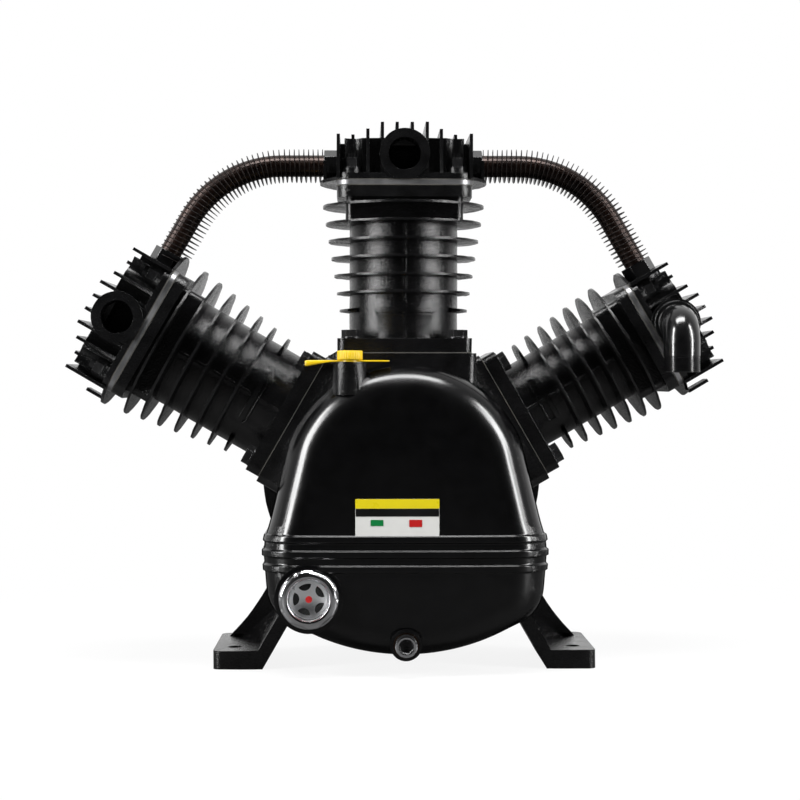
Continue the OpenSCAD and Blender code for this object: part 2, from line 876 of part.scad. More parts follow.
module cylinder_block(i) {
    w = block_w(i);
    color([0.08, 0.08, 0.085])
        bank(i)
            difference() {
                union() {
                    barrel(i);
                    side_stubs(i);
                    seam(i);
                    difference() {
                        union() {
                            plate(flange_w, flange_w, flange_t, pad_corner_r, flange_base);
                            plate(w, w, top_block_t(), block_corner_r, deck_h(i) - top_block_t());
                            plate(w * 0.87, w * 0.87, fin_h(i, 0) - fin_h(i, 1), block_corner_r / 2, fin_h(i, 1));
                            plate(w * 0.87, w * 0.87, deck_h(i) - fin_h(i, 0), block_corner_r / 2, fin_h(i, 0));
                        }
                        cylinder(r = barrel_r(i) - cut, h = deck_h(i) + cut, $fn = round_fn);
                    }
                }
                four_corners(base_bolt_at, base_bolt_at)
                    translate([0, 0, flange_base - cut])
                        cylinder(r = bolt_r + gap, h = flange_t + 2 * cut, $fn = round_fn);
                four_corners(base_bolt_at, base_bolt_at)
                    translate([0, 0, flange_top])
                        cylinder(r = washer_r + 1, h = bolt_head_h + washer_t + cut, $fn = round_fn);
                four_corners(stud_at(i), stud_at(i))
                    translate([0, 0, fin_h(i, 1) + cut])
                        cylinder(r = stud_r + gap, h = deck_h(i), $fn = round_fn);
            }
}

module cylinder_left() {
    cylinder_block(left);
}

module cylinder_centre() {
    cylinder_block(centre);
}

module cylinder_right() {
    cylinder_block(right);
}

module base_gaskets() {
    color([0.75, 0.72, 0.6])
        for (i = [left:right])
            bank(i)
                difference() {
                    plate(flange_w, flange_w, gasket_t, pad_corner_r, pad_h);
                    translate([0, 0, pad_h - cut])
                        cylinder(r = barrel_r(i), h = gasket_t + 2 * cut, $fn = round_fn);
                    four_corners(base_bolt_at, base_bolt_at)
                        translate([0, 0, pad_h - cut])
                            cylinder(r = bolt_r + gap, h = gasket_t + 2 * cut, $fn = round_fn);
                }
}

module base_bolts() {
    color([0.12, 0.12, 0.12])
        for (i = [left:right])
            bank(i)
                four_corners(base_bolt_at, base_bolt_at)
                    translate([0, 0, flange_top])
                        bolt(flange_t + gasket_t + bolt_depth - 1);
}

// Gaskets below and above each valve plate
module head_gaskets() {
    color([0.72, 0.5, 0.3])
        for (i = [left:right])
            bank(i) {
                gasket_ring(i, deck_h(i), bore_r(i) + 1);
                gasket_ring(i, deck_h(i) + gasket_t + valve_plate_t, bore_r(i) - 2);
            }
}

module gasket_ring(i, h, r) {
    difference() {
        plate(block_w(i), block_w(i), gasket_t, block_corner_r, h);
        translate([0, 0, h - cut])
            cylinder(r = r, h = gasket_t + 2 * cut, $fn = round_fn);
        four_corners(stud_at(i), stud_at(i))
            translate([0, 0, h - cut])
                cylinder(r = stud_r + gap, h = gasket_t + 2 * cut, $fn = round_fn);
    }
}

// Valve plates: three intake holes in front, three discharge holes behind
valve_hole_r = 5.5;
reed_t = 0.4;
reed_w = 14;
function valve_y(i) = bore_r(i) * 0.5;
function plate_h(i) = deck_h(i) + gasket_t;
function reed_len(i) = bore_r(i) * 1.2;
valve_x_shares = [-0.5, 0, 0.5];

module valve_plate(i) {
    color([0.5, 0.5, 0.52])
        bank(i)
            difference() {
                plate(block_w(i), block_w(i), valve_plate_t, block_corner_r, plate_h(i));
                for (s = [-1, 1], x = valve_x_shares)
                    translate([x * bore_r(i) * 0.8, s * valve_y(i), plate_h(i) - cut])
                        cylinder(r = valve_hole_r, h = valve_plate_t + 2 * cut, $fn = round_fn);
                translate([-reed_len(i) / 2 - gap, -valve_y(i) - reed_w / 2 - gap, plate_h(i) - cut])
                    cube([reed_len(i) + 2 * gap, reed_w + 2 * gap, cut + reed_t + gap]);
                four_corners(stud_at(i), stud_at(i))
                    translate([0, 0, plate_h(i) - cut])
                        cylinder(r = stud_r + gap, h = valve_plate_t + 2 * cut, $fn = round_fn);
            }
}

module valve_plate_left() {
    valve_plate(left);
}

module valve_plate_centre() {
    valve_plate(centre);
}

module valve_plate_right() {
    valve_plate(right);
}

module intake_reeds() {
    color([0.8, 0.8, 0.85])
        for (i = [left:right])
            bank(i)
                translate([-reed_len(i) / 2, -valve_y(i) - reed_w / 2, plate_h(i) + gap])
                    cube([reed_len(i), reed_w, reed_t]);
}

module discharge_reeds() {
    color([0.8, 0.8, 0.85])
        for (i = [left:right])
            bank(i)
                translate([-reed_len(i) / 2, valve_y(i) - reed_w / 2, plate_h(i) + valve_plate_t + fit])
                    cube([reed_len(i), reed_w, reed_t]);
}

// Heads: a hollow body with a parting wall, thin fins front to back and a round base fin
head_wall = 7;
head_skin = 6;
stud_boss_r = 10;
stud_boss_h = 10;
pocket_over = 0.4;
base_fin_t = 3;
base_plate_t = 5.6;
rough_lug_r = 12;
function core_w(i) = block_w(i) - 14;
function side_rib_w(i) = (block_w(i) - core_w(i)) / 2;
function core_d(i) = 2 * (stud_at(i) - stud_boss_r) + 12;
function base_fin_r(i) = pick(i, lp_fin_d, hp_fin_d) / 2 + pick(i, 2.5, 0);
tall_fin_gap = 14;
lp_fin_rows = [[0.5, 1], [1.5, 1], [2.45, 0.5]];
hp_fin_rows = [[0, 1], [0.92, 1], [1.8, 0.6]];
low_fin_share = 0.3;

function chamber_front(i) = core_d(i) / 2 - head_wall;

module head_fin(i, x, up, reach) {
    translate([x - head_fin_t / 2, -reach, head_base(i) + 1])
        cube([head_fin_t, 2 * reach, head_h + up - 1]);
}

module head(i) {
    w = block_w(i);
    half_d = w / 2 - 2;
    color([0.07, 0.07, 0.075])
        bank(i)
            difference() {
                union() {
                    plate(core_w(i), core_d(i), head_h, block_corner_r / 2, head_base(i));
                    plate(w, w, base_plate_t, block_corner_r, head_base(i));
                    intersection() {
                        translate([0, 0, head_base(i)])
                            cylinder(r = base_fin_r(i), h = base_fin_t, $fn = round_fn * 2);
                        translate([-w, -half_d, head_base(i)])
                            cube([2 * w, 2 * half_d, base_fin_t]);
                    }
                    head_fins(i, half_d);
                    four_corners(stud_at(i), stud_at(i))
                        translate([0, 0, head_base(i)])
                            cylinder(r = stud_boss_r, h = stud_boss_h, $fn = round_fn);
                    port_boss(i, half_d);
                    for (s = lug_sides(i))
                        translate([s * (base_fin_r(i) - lug_in) - head_fin_t / 2, lug_y(i) - lug_len / 2, head_base(i)])
                            cube([head_fin_t, lug_len, lug_h]);
                    tube_bosses(i);
                }
                head_chambers(i);
                translate([0, 0, port_h(i)])
                    along_y(-half_d - port_out - cut, port_r, half_d + port_out + cut - chamber_front(i));
                tube_ports(i);
                four_corners(stud_at(i), stud_at(i))
                    translate([0, 0, head_base(i) - cut])
                        cylinder(r = stud_r + gap, h = stud_boss_h + 2 * cut, $fn = round_fn);
                four_corners(stud_at(i), stud_at(i))
                    translate([0, 0, head_base(i) + stud_boss_h])
                        cylinder(r = stud_boss_r + pocket_over, h = head_h + head_fin_h, $fn = round_fn);
            }
}

// Upright lugs on the base fin stand in front of the tube nuts
port_out = 4;
lug_len = 24;
lug_h = 21;
lug_in = 5;
function lug_sides(i) = i == right ? [1] : [-1, 1];
function lug_y(i) = min(0, tube_y - bank_y(i) - nut_flats * 0.6 - lug_len / 2);

module head_fins(i, half_d) {
    rows = pick(i, lp_fin_rows, hp_fin_rows);
    for (s = [-1, 1], row = rows)
        head_fin(i, s * row[0] * tall_fin_gap, head_fin_h * row[1], half_d);
    for (s = [-1, 1])
        head_fin(i, s * (stud_at(i) - 1), head_fin_h * low_fin_share, core_d(i) / 2);
    for (s = [-1, 1])
        head_fin(i, s * (block_w(i) - head_fin_t) / 2, 2, half_d);
    for (s = [-1, 1])
        translate([s * (block_w(i) + core_w(i)) / 4 - side_rib_w(i) / 2, -head_fin_t / 2, head_base(i)])
            cube([side_rib_w(i), head_fin_t, head_h]);
}

module port_boss(i, half_d) {
    intersection() {
        union() {
            translate([0, 0, port_h(i)])
                along_y(-half_d - port_out, port_boss_r, half_d);
            translate([-port_boss_r * 0.8, -half_d - port_out / 2, head_base(i)])
                cube([port_boss_r * 1.6, half_d, port_up(i)]);
            translate([0, 0, head_base(i) + rough_lug_r / 2])
                along_y(-half_d - port_out, rough_lug_r, half_d / 2);
        }
        translate([-block_w(i) / 2, -block_w(i), head_base(i)])
            cube([block_w(i), 2 * block_w(i), head_h * 2]);
    }
}

// Tube ends sit on the side faces: both on the centre head, one on each side head
tube_boss_r = 15;
function tube_up(i) = i == centre ? 20 : 22;
function tube_sides(i) = i == left ? [1] : i == right ? [-1] : [-1, 1];
tube_y = 14;

module tube_bosses(i) {
    for (s = tube_sides(i))
        translate([s * core_w(i) / 2, tube_y - bank_y(i), head_base(i) + tube_up(i)])
            rotate([0, s * 90, 0])
                translate([0, 0, -2])
                    cylinder(r = tube_boss_r, h = (block_w(i) - core_w(i)) / 2 + 2, $fn = round_fn);
}

module tube_ports(i) {
    for (s = tube_sides(i))
        translate([s * core_w(i) / 2, tube_y - bank_y(i), head_base(i) + tube_up(i)])
            rotate([0, s * 90, 0])
                translate([0, 0, -head_wall * 2])
                    cylinder(r = tube_r + gap, h = block_w(i), $fn = round_fn);
}

module head_chambers(i) {
    inner_w = core_w(i) - 2 * head_wall;
    inner_d = chamber_front(i) - head_wall / 2;
    for (s = [-1, 1])
        translate([-inner_w / 2, s > 0 ? head_wall / 2 : -head_wall / 2 - inner_d, head_base(i) - cut])
            cube([inner_w, inner_d, head_h - head_skin + cut]);
}

module head_left() {
    head(left);
}

module head_centre() {
    head(centre);
}

module head_right() {
    head(right);
}

stud_up = 25;

module head_studs() {
    color([0.4, 0.4, 0.42])
        for (i = [left:right])
            bank(i)
                four_corners(stud_at(i), stud_at(i))
                    translate([0, 0, fin_h(i, 1) + cut + gap])
                        cylinder(r = stud_r, h = head_base(i) + stud_up - fin_h(i, 1) - cut - gap, $fn = round_fn);
}

module head_nuts() {
    color([0.12, 0.12, 0.12])
        for (i = [left:right])
            bank(i)
                four_corners(stud_at(i), stud_at(i))
                    translate([0, 0, head_base(i) + stud_boss_h])
                        difference() {
                            union() {
                                cylinder(r = washer_r, h = washer_t, $fn = round_fn);
                                translate([0, 0, washer_t])
                                    hex_head(bolt_flats, bolt_head_h + 2);
                            }
                            translate([0, 0, -cut])
                                cylinder(r = stud_r + fit, h = bolt_head_h * 3, $fn = round_fn);
                        }
}

// Finned tubes: straight out of the centre head, round a bend, and into a side head
fin_t = 0.9;
nut_len = 13;
nut_flats = 27;
function port_point(i, s) = let (a = bank_turn(i), h = head_base(i) + tube_up(i), x = s * block_w(i) / 2)
    [x * cos(a) + h * sin(a), h * cos(a) - x * sin(a)];
function side_of(i) = i - centre;
function corner_x(i) = let (p = port_point(i, -side_of(i)), up = port_point(centre, 1)[1] - p[1])
    abs(p[0]) - up / tan(bank_angle);
function run_down(i) = let (p = port_point(i, -side_of(i)))
    (port_point(centre, 1)[1] - p[1]) / sin(bank_angle) - tangent;
tangent = tube_bend_r * tan(bank_angle / 2);
function run_out(i) = corner_x(i) - block_w(centre) / 2 - tangent;
bend_len = tube_bend_r * bank_angle * PI / 180;

// Children lie in the tube frame: Z runs along the tube, from the centre head outwards
module on_route(i, at) {
    translate(route_pos(i, at))
        rotate([0, 90 + route_turn(i, at), 0])
            children();
}

function route_len(i) = run_out(i) + bend_len + run_down(i);

module route_frame(i) {
    translate([0, tube_y, crank_z + head_base(centre) + tube_up(centre)])
        mirror([i == left ? 1 : 0, 0, 0])
            children();
}

// The tube itself is one closed skin: outer rings out, inner rings back
function route_turn(i, at) =
    max(0, min(bank_angle, (at - run_out(i)) * 180 / PI / tube_bend_r));
function route_pos(i, at) = let (a = route_turn(i, at), out = run_out(i),
    rest = max(0, at - out - bend_len), first = min(at, out))
    [block_w(centre) / 2 + first + tube_bend_r * sin(a) + rest * cos(a), 0,
        tube_bend_r * (cos(a) - 1) - rest * sin(a)];
function route_ring(i, at, r) = let (a = route_turn(i, at), p = route_pos(i, at))
    [for (k = [0:tube_sides_n - 1]) let (t = k * 360 / tube_sides_n)
        p + r * [cos(t) * sin(a), sin(t), cos(t) * cos(a)]];
function route_stops(i) = concat([-tube_in, 0], [for (k = [0:bend_steps]) run_out(i) + k * bend_len / bend_steps],
    [route_len(i), route_len(i) + tube_in]);
tube_sides_n = 28;
bend_steps = 12;

module tube(i) {
    stops = route_stops(i);
    rings = concat([for (at = stops) route_ring(i, at, tube_r)],
        [for (k = [len(stops) - 1:-1:0]) route_ring(i, stops[k], tube_bore_r)]);
    n = tube_sides_n;
    m = len(rings);
    color([0.14, 0.1, 0.085])
        route_frame(i)
            polyhedron(points = [for (ring = rings) each ring], convexity = 6,
                faces = [for (j = [0:m - 1], k = [0:n - 1]) each [
                    [j * n + k, (j + 1) % m * n + (k + 1) % n, (j + 1) % m * n + k],
                    [j * n + k, j * n + (k + 1) % n, (j + 1) % m * n + (k + 1) % n]]]);
}

module tube_fins(i) {
    n = floor((route_len(i) - 2 * nut_len - tube_fin_pitch) / tube_fin_pitch);
    start = (route_len(i) - n * tube_fin_pitch) / 2;
    color([0.09, 0.08, 0.08])
        route_frame(i)
            for (k = [0:n])
                on_route(i, start + k * tube_fin_pitch)
                    translate([0, 0, -fin_t / 2])
                        difference() {
                            cylinder(r = tube_fin_r, h = fin_t, $fn = round_fn);
                            translate([0, 0, -cut])
                                cylinder(r = tube_r + gap, h = fin_t + 2 * cut, $fn = round_fn);
                        }
}
tube_in = 8;

module tube_left() {
    tube(left);
}

module tube_right() {
    tube(right);
}

module tube_fins_left() {
    tube_fins(left);
}

module tube_fins_right() {
    tube_fins(right);
}

module tube_nuts() {
    color([0.2, 0.2, 0.21])
        for (i = [left, right])
            route_frame(i)
                for (at = [0, route_len(i) - nut_len])
                    on_route(i, at)
                        difference() {
                            hex_head(nut_flats, nut_len);
                            translate([0, 0, -cut])
                                cylinder(r = tube_r + fit, h = nut_len + 2 * cut, $fn = round_fn);
                        }
}

// Street elbow on the port of the second stage head, turned to hang straight down
elbow_r = 17;
elbow_bend_r = 20;
elbow_out = 12;
elbow_thread_r = 16.3;
elbow_drop = 12;
elbow_thread_len = 15;
elbow_in = 14;
elbow_bore_r = 12;
elbow_bead_r = 21;
elbow_bead_t = 5;

module elbow_run(r, over) {
    y0 = -(block_w(right) / 2 - 2 + port_out);
    translate([0, y0 - elbow_out, 0])
        rotate([-90, 0, 0])
            cylinder(r = r, h = elbow_out + over, $fn = round_fn);
    translate([0, y0 - elbow_out, -elbow_bend_r])
        rotate([0, -90, 0])
            rotate([0, 0, 180])
                mirror([1, 0, 0])
                    rotate_extrude(angle = 90, $fn = round_fn)
                        translate([elbow_bend_r, 0])
                            circle(r, $fn = round_fn);
    translate([0, y0 - elbow_out - elbow_bend_r, -elbow_bend_r - elbow_drop - (over > elbow_in ? cut : 0)])
        cylinder(r = r, h = elbow_drop + (over > elbow_in ? cut : 0), $fn = round_fn);
}

module discharge_elbow() {
    y0 = -(block_w(right) / 2 - 2 + port_out);
    y1 = y0 - elbow_out - elbow_bend_r;
    color([0.1, 0.1, 0.105])
        translate([port_h(right) * sin(bank_angle), bank_y(right), crank_z + port_h(right) * cos(bank_angle)])
            difference() {
                union() {
                    elbow_run(elbow_r, 0);
                    along_y(y0 - elbow_bead_t, elbow_bead_r, elbow_bead_t);
                    along_y(y0, port_r - gap, elbow_in);
                    translate([0, y1, -elbow_bend_r - elbow_drop - elbow_thread_len])
                        cylinder(r = elbow_thread_r, h = elbow_thread_len + 1, $fn = round_fn);
                }
                elbow_run(elbow_bore_r, elbow_in + cut);
                translate([0, y1, -elbow_bend_r - elbow_drop - elbow_thread_len - cut])
                    cylinder(r = elbow_bore_r, h = elbow_thread_len + 2 * cut, $fn = round_fn);
            }
}

// Sight glass: bezel, seal, window and the spoked disc behind it
bezel_t = 9;
bezel_hex = 50;
window_r = 18;
window_t = 4;
disc_r = 16;
disc_t = 1;
spoke_count = 5;
spoke_hole_in = 5;
spoke_hole_out = 13;
sight_y = -case_front - boss_out;
sight_bore_r = 20;
sight_deep = 16;

module at_sight(y) {
    translate([-sight_x, y, sight_z])
        rotate([90, 0, 0])
            children();
}

module sight_cuts() {
    at_sight(sight_y + sight_deep)
        cylinder(r = sight_bore_r + gap, h = sight_deep + cut, $fn = round_fn);
    at_sight(sight_y + case_edge_r + boss_out)
        cylinder(r = disc_r * 0.6, h = case_edge_r + boss_out, $fn = round_fn);
}

module sight_bezel() {
    color([0.85, 0.85, 0.87])
        at_sight(sight_y)
            difference() {
                union() {
                    translate([0, 0, gasket_t + gap])
                        cylinder(r = bezel_r, h = bezel_t / 2, $fn = round_fn * 2);
                    translate([0, 0, gasket_t + gap])
                        intersection() {
                            cylinder(r = bezel_r - 0.6, h = bezel_t, $fn = round_fn * 2);
                            hex_head(bezel_hex, bezel_t);
                        }
                    translate([0, 0, gap - sight_deep + cut])
                        cylinder(r = sight_bore_r, h = sight_deep, $fn = round_fn);
                }
                translate([0, 0, -sight_deep])
                    cylinder(r = window_r + gap, h = sight_deep + 2 * bezel_t, $fn = round_fn);
            }
}

module sight_seal() {
    color([0.1, 0.1, 0.1])
        at_sight(sight_y)
            difference() {
                cylinder(r = bezel_r - 1, h = gasket_t, $fn = round_fn);
                translate([0, 0, -cut])
                    cylinder(r = sight_bore_r + gap, h = gasket_t + 2 * cut, $fn = round_fn);
            }
}

module sight_window() {
    color([0.9, 0.92, 0.9, 0.4])
        at_sight(sight_y)
            translate([0, 0, bezel_t * 0.3])
                cylinder(r = window_r, h = window_t, $fn = round_fn);
}

module sight_disc() {
    color([0.7, 0.7, 0.72])
        at_sight(sight_y)
            translate([0, 0, bezel_t * 0.3 - disc_t - gap])
                difference() {
                    cylinder(r = window_r, h = disc_t, $fn = round_fn);
                    for (k = [0:spoke_count - 1])
                        rotate([0, 0, 90 + k * 360 / spoke_count])
                            translate([(spoke_hole_in + spoke_hole_out) / 2, 0, -cut])
                                cylinder(d = spoke_hole_out - spoke_hole_in, h = disc_t + 2 * cut, $fn = round_fn);
                }
}

// Drain plug with its washer
drain_head_r = 10.5;
drain_head_t = 8;
drain_hex = 8;
drain_in = 18;

module drain_plug() {
    color([0.15, 0.15, 0.15])
        translate([0, -case_front - boss_out - washer_t, drain_z])
            rotate([90, 0, 0])
                difference() {
                    union() {
                        cylinder(r = drain_head_r, h = drain_head_t, $fn = round_fn);
                        translate([0, 0, -drain_in])
                            cylinder(r = drain_r, h = drain_in, $fn = round_fn);
                    }
                    translate([0, 0, drain_head_t - drain_hex / 2])
                        hex_head(drain_hex * 1.3, drain_hex);
                }
}

module drain_washer() {
    color([0.7, 0.45, 0.25])
        translate([0, 0, drain_z])
            ring_y(-case_front - boss_out - washer_t + fit, drain_head_r + 1, drain_r + gap, washer_t - fit);
}

// Oil filler plug with a ribbed cap, and the tag held under it
cap_h = 8.5;
tag_t = 1.6;
tag_left = 41;
tag_right = 36;
tag_w = 14;
tag_thick = 4;
tag_end = 9;
grip_count = 18;
plug_in = 20;

module filler_plug() {
    color([0.95, 0.75, 0.05])
        translate([-filler_x, filler_y, neck_top])
            difference() {
                union() {
                    translate([0, 0, tag_t + gap])
                        cylinder(r = filler_cap_r, h = cap_h, $fn = round_fn);
                    translate([0, 0, -plug_in])
                        cylinder(r = filler_bore_r, h = plug_in + tag_t + gap + 1, $fn = round_fn);
                }
                for (k = [0:grip_count - 1])
                    rotate([0, 0, k * 360 / grip_count])
                        translate([filler_cap_r + 0.3, 0, tag_t + gap + 1])
                            cylinder(r = 0.8, h = cap_h, $fn = round_fn / 4);
            }
}

module filler_tag() {
    color([0.95, 0.75, 0.05])
        translate([-filler_x, filler_y, neck_top + fit])
            difference() {
                union() {
                    translate([-tag_left, -tag_w / 2, 0])
                        cube([tag_left + tag_right, tag_w, tag_t]);
                    translate([0, 0, 0])
                        cylinder(r = filler_cap_r + 2, h = tag_t, $fn = round_fn);
                    translate([-tag_left, -tag_w / 2, tag_t - tag_thick])
                        cube([tag_end, tag_w, tag_thick]);
                }
                translate([0, 0, -cut])
                    cylinder(r = filler_bore_r + fit, h = tag_t + 2 * cut, $fn = round_fn);
            }
}

// Bare plate on the front of the casing
label_x = -8;
label_z = 145.5;
label_t = 1;

module label_plate() {
    color([0.9, 0.9, 0.85])
        translate([label_x - label_w / 2, -case_front - front_crown - label_t, label_z - label_h / 2])
            cube([label_w, label_t, label_h]);
}

crankcase();
bearing_housing();
bearing_housing_gasket();
bearing_housing_bolts();
front_bearing_outer_race();
front_bearing_balls();
front_bearing_inner_race();
rear_bearing_outer_race();
rear_bearing_balls();
rear_bearing_inner_race();
shaft_seal();
crankshaft();
counterweight();
counterweight_bolts();
crank_pin();
oil_dipper();
rod_left();
rod_centre();
rod_right();
piston_left();
piston_centre();
piston_right();
rings_left();
rings_centre();
rings_right();
gudgeon_pin_left();
gudgeon_pin_centre();
gudgeon_pin_right();
cylinder_left();
cylinder_centre();
cylinder_right();
base_gaskets();
base_bolts();
head_gaskets();
valve_plate_left();
valve_plate_centre();
valve_plate_right();
intake_reeds();
discharge_reeds();
head_left();
head_centre();
head_right();
head_studs();
head_nuts();
tube_left();
tube_right();
tube_fins_left();
tube_fins_right();
tube_nuts();
discharge_elbow();
sight_bezel();
sight_window();
sight_disc();
sight_seal();
drain_plug();
drain_washer();
filler_plug();
filler_tag();
label_plate();
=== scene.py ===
import bpy
import bmesh
import json
import math
import numpy as np
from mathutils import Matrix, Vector


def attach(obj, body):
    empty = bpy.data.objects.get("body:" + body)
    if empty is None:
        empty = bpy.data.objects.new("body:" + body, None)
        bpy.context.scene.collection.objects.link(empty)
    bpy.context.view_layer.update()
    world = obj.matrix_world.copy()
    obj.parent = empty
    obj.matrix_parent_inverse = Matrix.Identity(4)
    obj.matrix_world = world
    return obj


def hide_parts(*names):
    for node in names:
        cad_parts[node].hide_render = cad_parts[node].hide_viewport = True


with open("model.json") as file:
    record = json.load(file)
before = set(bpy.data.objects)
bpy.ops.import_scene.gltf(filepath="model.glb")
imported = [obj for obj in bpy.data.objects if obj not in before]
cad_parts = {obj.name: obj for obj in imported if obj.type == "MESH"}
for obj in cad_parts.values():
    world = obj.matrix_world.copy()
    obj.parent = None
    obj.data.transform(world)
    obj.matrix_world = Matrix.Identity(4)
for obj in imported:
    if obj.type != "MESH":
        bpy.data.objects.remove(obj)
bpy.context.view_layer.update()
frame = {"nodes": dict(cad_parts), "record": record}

mm = 0.001
print("stage: frame loaded")

# camera: straight on to the sight glass side, a little to the left, found from the outlines of the casting
cameraSet = {
    "place": (-40.3, -1800.0, 272.0),  # mm
    "turn": 1.18,  # degrees to the right
    "tilt": -0.68,  # degrees upwards
    "lens": 83.9,  # mm on a 36 mm sensor
}


def makeCamera(v):
    turn, tilt = math.radians(v["turn"]), math.radians(v["tilt"])
    look = Vector((math.sin(turn) * math.cos(tilt), math.cos(turn) * math.cos(tilt), math.sin(tilt)))
    data = bpy.data.cameras.new("studioCamera")
    data.lens = v["lens"]
    data.sensor_width = 36
    data.clip_end = 50
    camera = bpy.data.objects.new("studioCamera", data)
    camera.location = Vector(v["place"]) * mm
    camera.rotation_euler = look.to_track_quat("-Z", "Y").to_euler()
    bpy.context.scene.collection.objects.link(camera)
    bpy.context.scene.camera = camera


makeCamera(cameraSet)


# materials: one recipe, a table of finishes
def newMaterial(name):
    material = bpy.data.materials.new(name)
    material.use_nodes = True
    nodes = material.node_tree.nodes
    return material, nodes, material.node_tree.links, nodes["Principled BSDF"]


def noiseNode(nodes, links, scale, detail, rough=0.55):
    place = nodes.new("ShaderNodeTexCoord")
    noise = nodes.new("ShaderNodeTexNoise")
    noise.inputs["Scale"].default_value = scale
    noise.inputs["Detail"].default_value = detail
    noise.inputs["Roughness"].default_value = rough
    links.new(place.outputs["Object"], noise.inputs["Vector"])
    return noise.outputs["Fac"]


def rampNode(nodes, links, source, first, second):
    ramp = nodes.new("ShaderNodeValToRGB")
    for stop, at, color in zip(ramp.color_ramp.elements, rampSpan, (first, second)):
        stop.position = at
        stop.color = color
    links.new(source, ramp.inputs["Fac"])
    return ramp.outputs["Color"]


def grey(value):
    return (value, value, value, 1)


def finish(name, values):
    # two noises vary tone and gloss, a third one raises the grain
    v = {**plainFinish, **values}
    material, nodes, links, shader = newMaterial(name)
    dark, light = v["colors"]
    patches = noiseNode(nodes, links, v["patchScale"], v["patchDetail"])
    tint = rampNode(nodes, links, patches, (*dark, 1), (*light, 1))
    links.new(tint, shader.inputs["Base Color"])
    shader.inputs["Metallic"].default_value = v["metal"]
    low, high = v["rough"]
    sheen = noiseNode(nodes, links, v["sheenScale"], v["sheenDetail"])
    links.new(rampNode(nodes, links, sheen, grey(low), grey(high)), shader.inputs["Roughness"])
    shader.inputs["IOR"].default_value = v["ior"]
    shader.inputs["Coat Weight"].default_value = v["coat"]
    shader.inputs["Coat Roughness"].default_value = v["coatRough"]
    grainStrength, grainSize = v["grain"]
    grain = noiseNode(nodes, links, 1 / grainSize, v["grainDetail"], v["grainRough"])
    bump = nodes.new("ShaderNodeBump")
    bump.inputs["Strength"].default_value = grainStrength
    bump.inputs["Distance"].default_value = v["grainDepth"]
    links.new(grain, bump.inputs["Height"])
    links.new(bump.outputs["Normal"], shader.inputs["Normal"])
    return material


rampSpan = (0.3, 0.7)  # noise levels that give the first and the second value of a pair
plainFinish = {
    "metal": 0, "ior": 1.5, "coat": 0, "coatRough": 0.1,
    "patchScale": 60, "patchDetail": 4,  # tone: noise cells per metre, detail
    "sheenScale": 35, "sheenDetail": 5,  # gloss: noise cells per metre, detail
    "grain": (0.02, 0.0004), "grainDepth": 0.0003,  # strength and size, depth; m
    "grainDetail": 3, "grainRough": 0.6,
}
finishes = {
    "smooth_black_paint": {
        "colors": ((0.0012, 0.0012, 0.0013), (0.0024, 0.0024, 0.0026)), "rough": (0.16, 0.21),
        "grain": (0.08, 0.004), "grainDepth": 0.0002},
    "black_casting_paint": {
        "colors": ((0.0015, 0.0015, 0.0016), (0.005, 0.005, 0.0053)), "rough": (0.14, 0.25),
        "grain": (0.7, 0.0017), "grainDetail": 5, "grainDepth": 0.0006},
    "black_elbow_paint": {
        "colors": ((0.002, 0.002, 0.0022), (0.005, 0.005, 0.0053)), "rough": (0.16, 0.26), "coat": 0.4,
        "grain": (0.25, 0.003), "grainDepth": 0.0004},
    "dark_bolts": {
        "colors": ((0.008, 0.008, 0.0083), (0.035, 0.035, 0.036)), "rough": (0.14, 0.28), "metal": 0.5,
        "grain": (0.5, 0.0015), "grainDepth": 0.0004},
    "gasket_paper": {"colors": ((0.03, 0.03, 0.028), (0.07, 0.065, 0.055)), "rough": (0.7, 0.9)},
    "bearing_steel": {"colors": ((0.50, 0.50, 0.52), (0.62, 0.62, 0.64)), "rough": (0.12, 0.22), "metal": 1},
    "black_rubber": {"colors": ((0.003, 0.003, 0.003), (0.006, 0.006, 0.006)), "rough": (0.45, 0.65)},
    "forged_steel": {"colors": ((0.28, 0.28, 0.29), (0.42, 0.42, 0.43)), "rough": (0.3, 0.5), "metal": 1},
    "grey_cast_iron": {
        "colors": ((0.13, 0.13, 0.135), (0.22, 0.22, 0.225)), "rough": (0.5, 0.7), "metal": 0.8},
    "bare_aluminium": {"colors": ((0.55, 0.55, 0.56), (0.70, 0.70, 0.71)), "rough": (0.3, 0.45), "metal": 1},
    "dark_tube": {
        "colors": ((0.016, 0.008, 0.006), (0.040, 0.020, 0.014)), "rough": (0.25, 0.4), "metal": 0.5},
    "dark_tube_fins": {
        "colors": ((0.012, 0.010, 0.010), (0.028, 0.022, 0.020)), "rough": (0.3, 0.5), "metal": 0.4},
    "chrome_bezel": {"colors": ((0.78, 0.78, 0.80), (0.88, 0.88, 0.90)), "rough": (0.10, 0.20), "metal": 1},
    "clear_window": {"colors": ((0.9, 0.95, 0.93), (0.95, 0.98, 0.97)), "rough": (0.02, 0.05)},
    "silver_disc": {"colors": ((0.72, 0.72, 0.74), (0.84, 0.84, 0.86)), "rough": (0.25, 0.4), "metal": 1},
    "copper_washer": {"colors": ((0.05, 0.03, 0.02), (0.10, 0.06, 0.04)), "rough": (0.25, 0.4), "metal": 1},
    "yellow_plastic": {
        "colors": ((0.70, 0.46, 0.004), (0.78, 0.53, 0.010)), "rough": (0.3, 0.42), "grain": (0.2, 0.001)},
    "plain_label": {"colors": ((0.60, 0.60, 0.58), (0.64, 0.64, 0.62)), "rough": (0.25, 0.4)},
}
windowSeen = 0.10  # share of the window that shows over the disc behind it
paints = {slot: finish(slot + "Finish", values) for slot, values in finishes.items()}
glass = paints["clear_window"].node_tree.nodes["Principled BSDF"]
glass.inputs["Transmission Weight"].default_value = 1
glass.inputs["Alpha"].default_value = windowSeen
slotOf = {s["node"]: s["material_slot"] for s in frame["record"]["subparts"]}
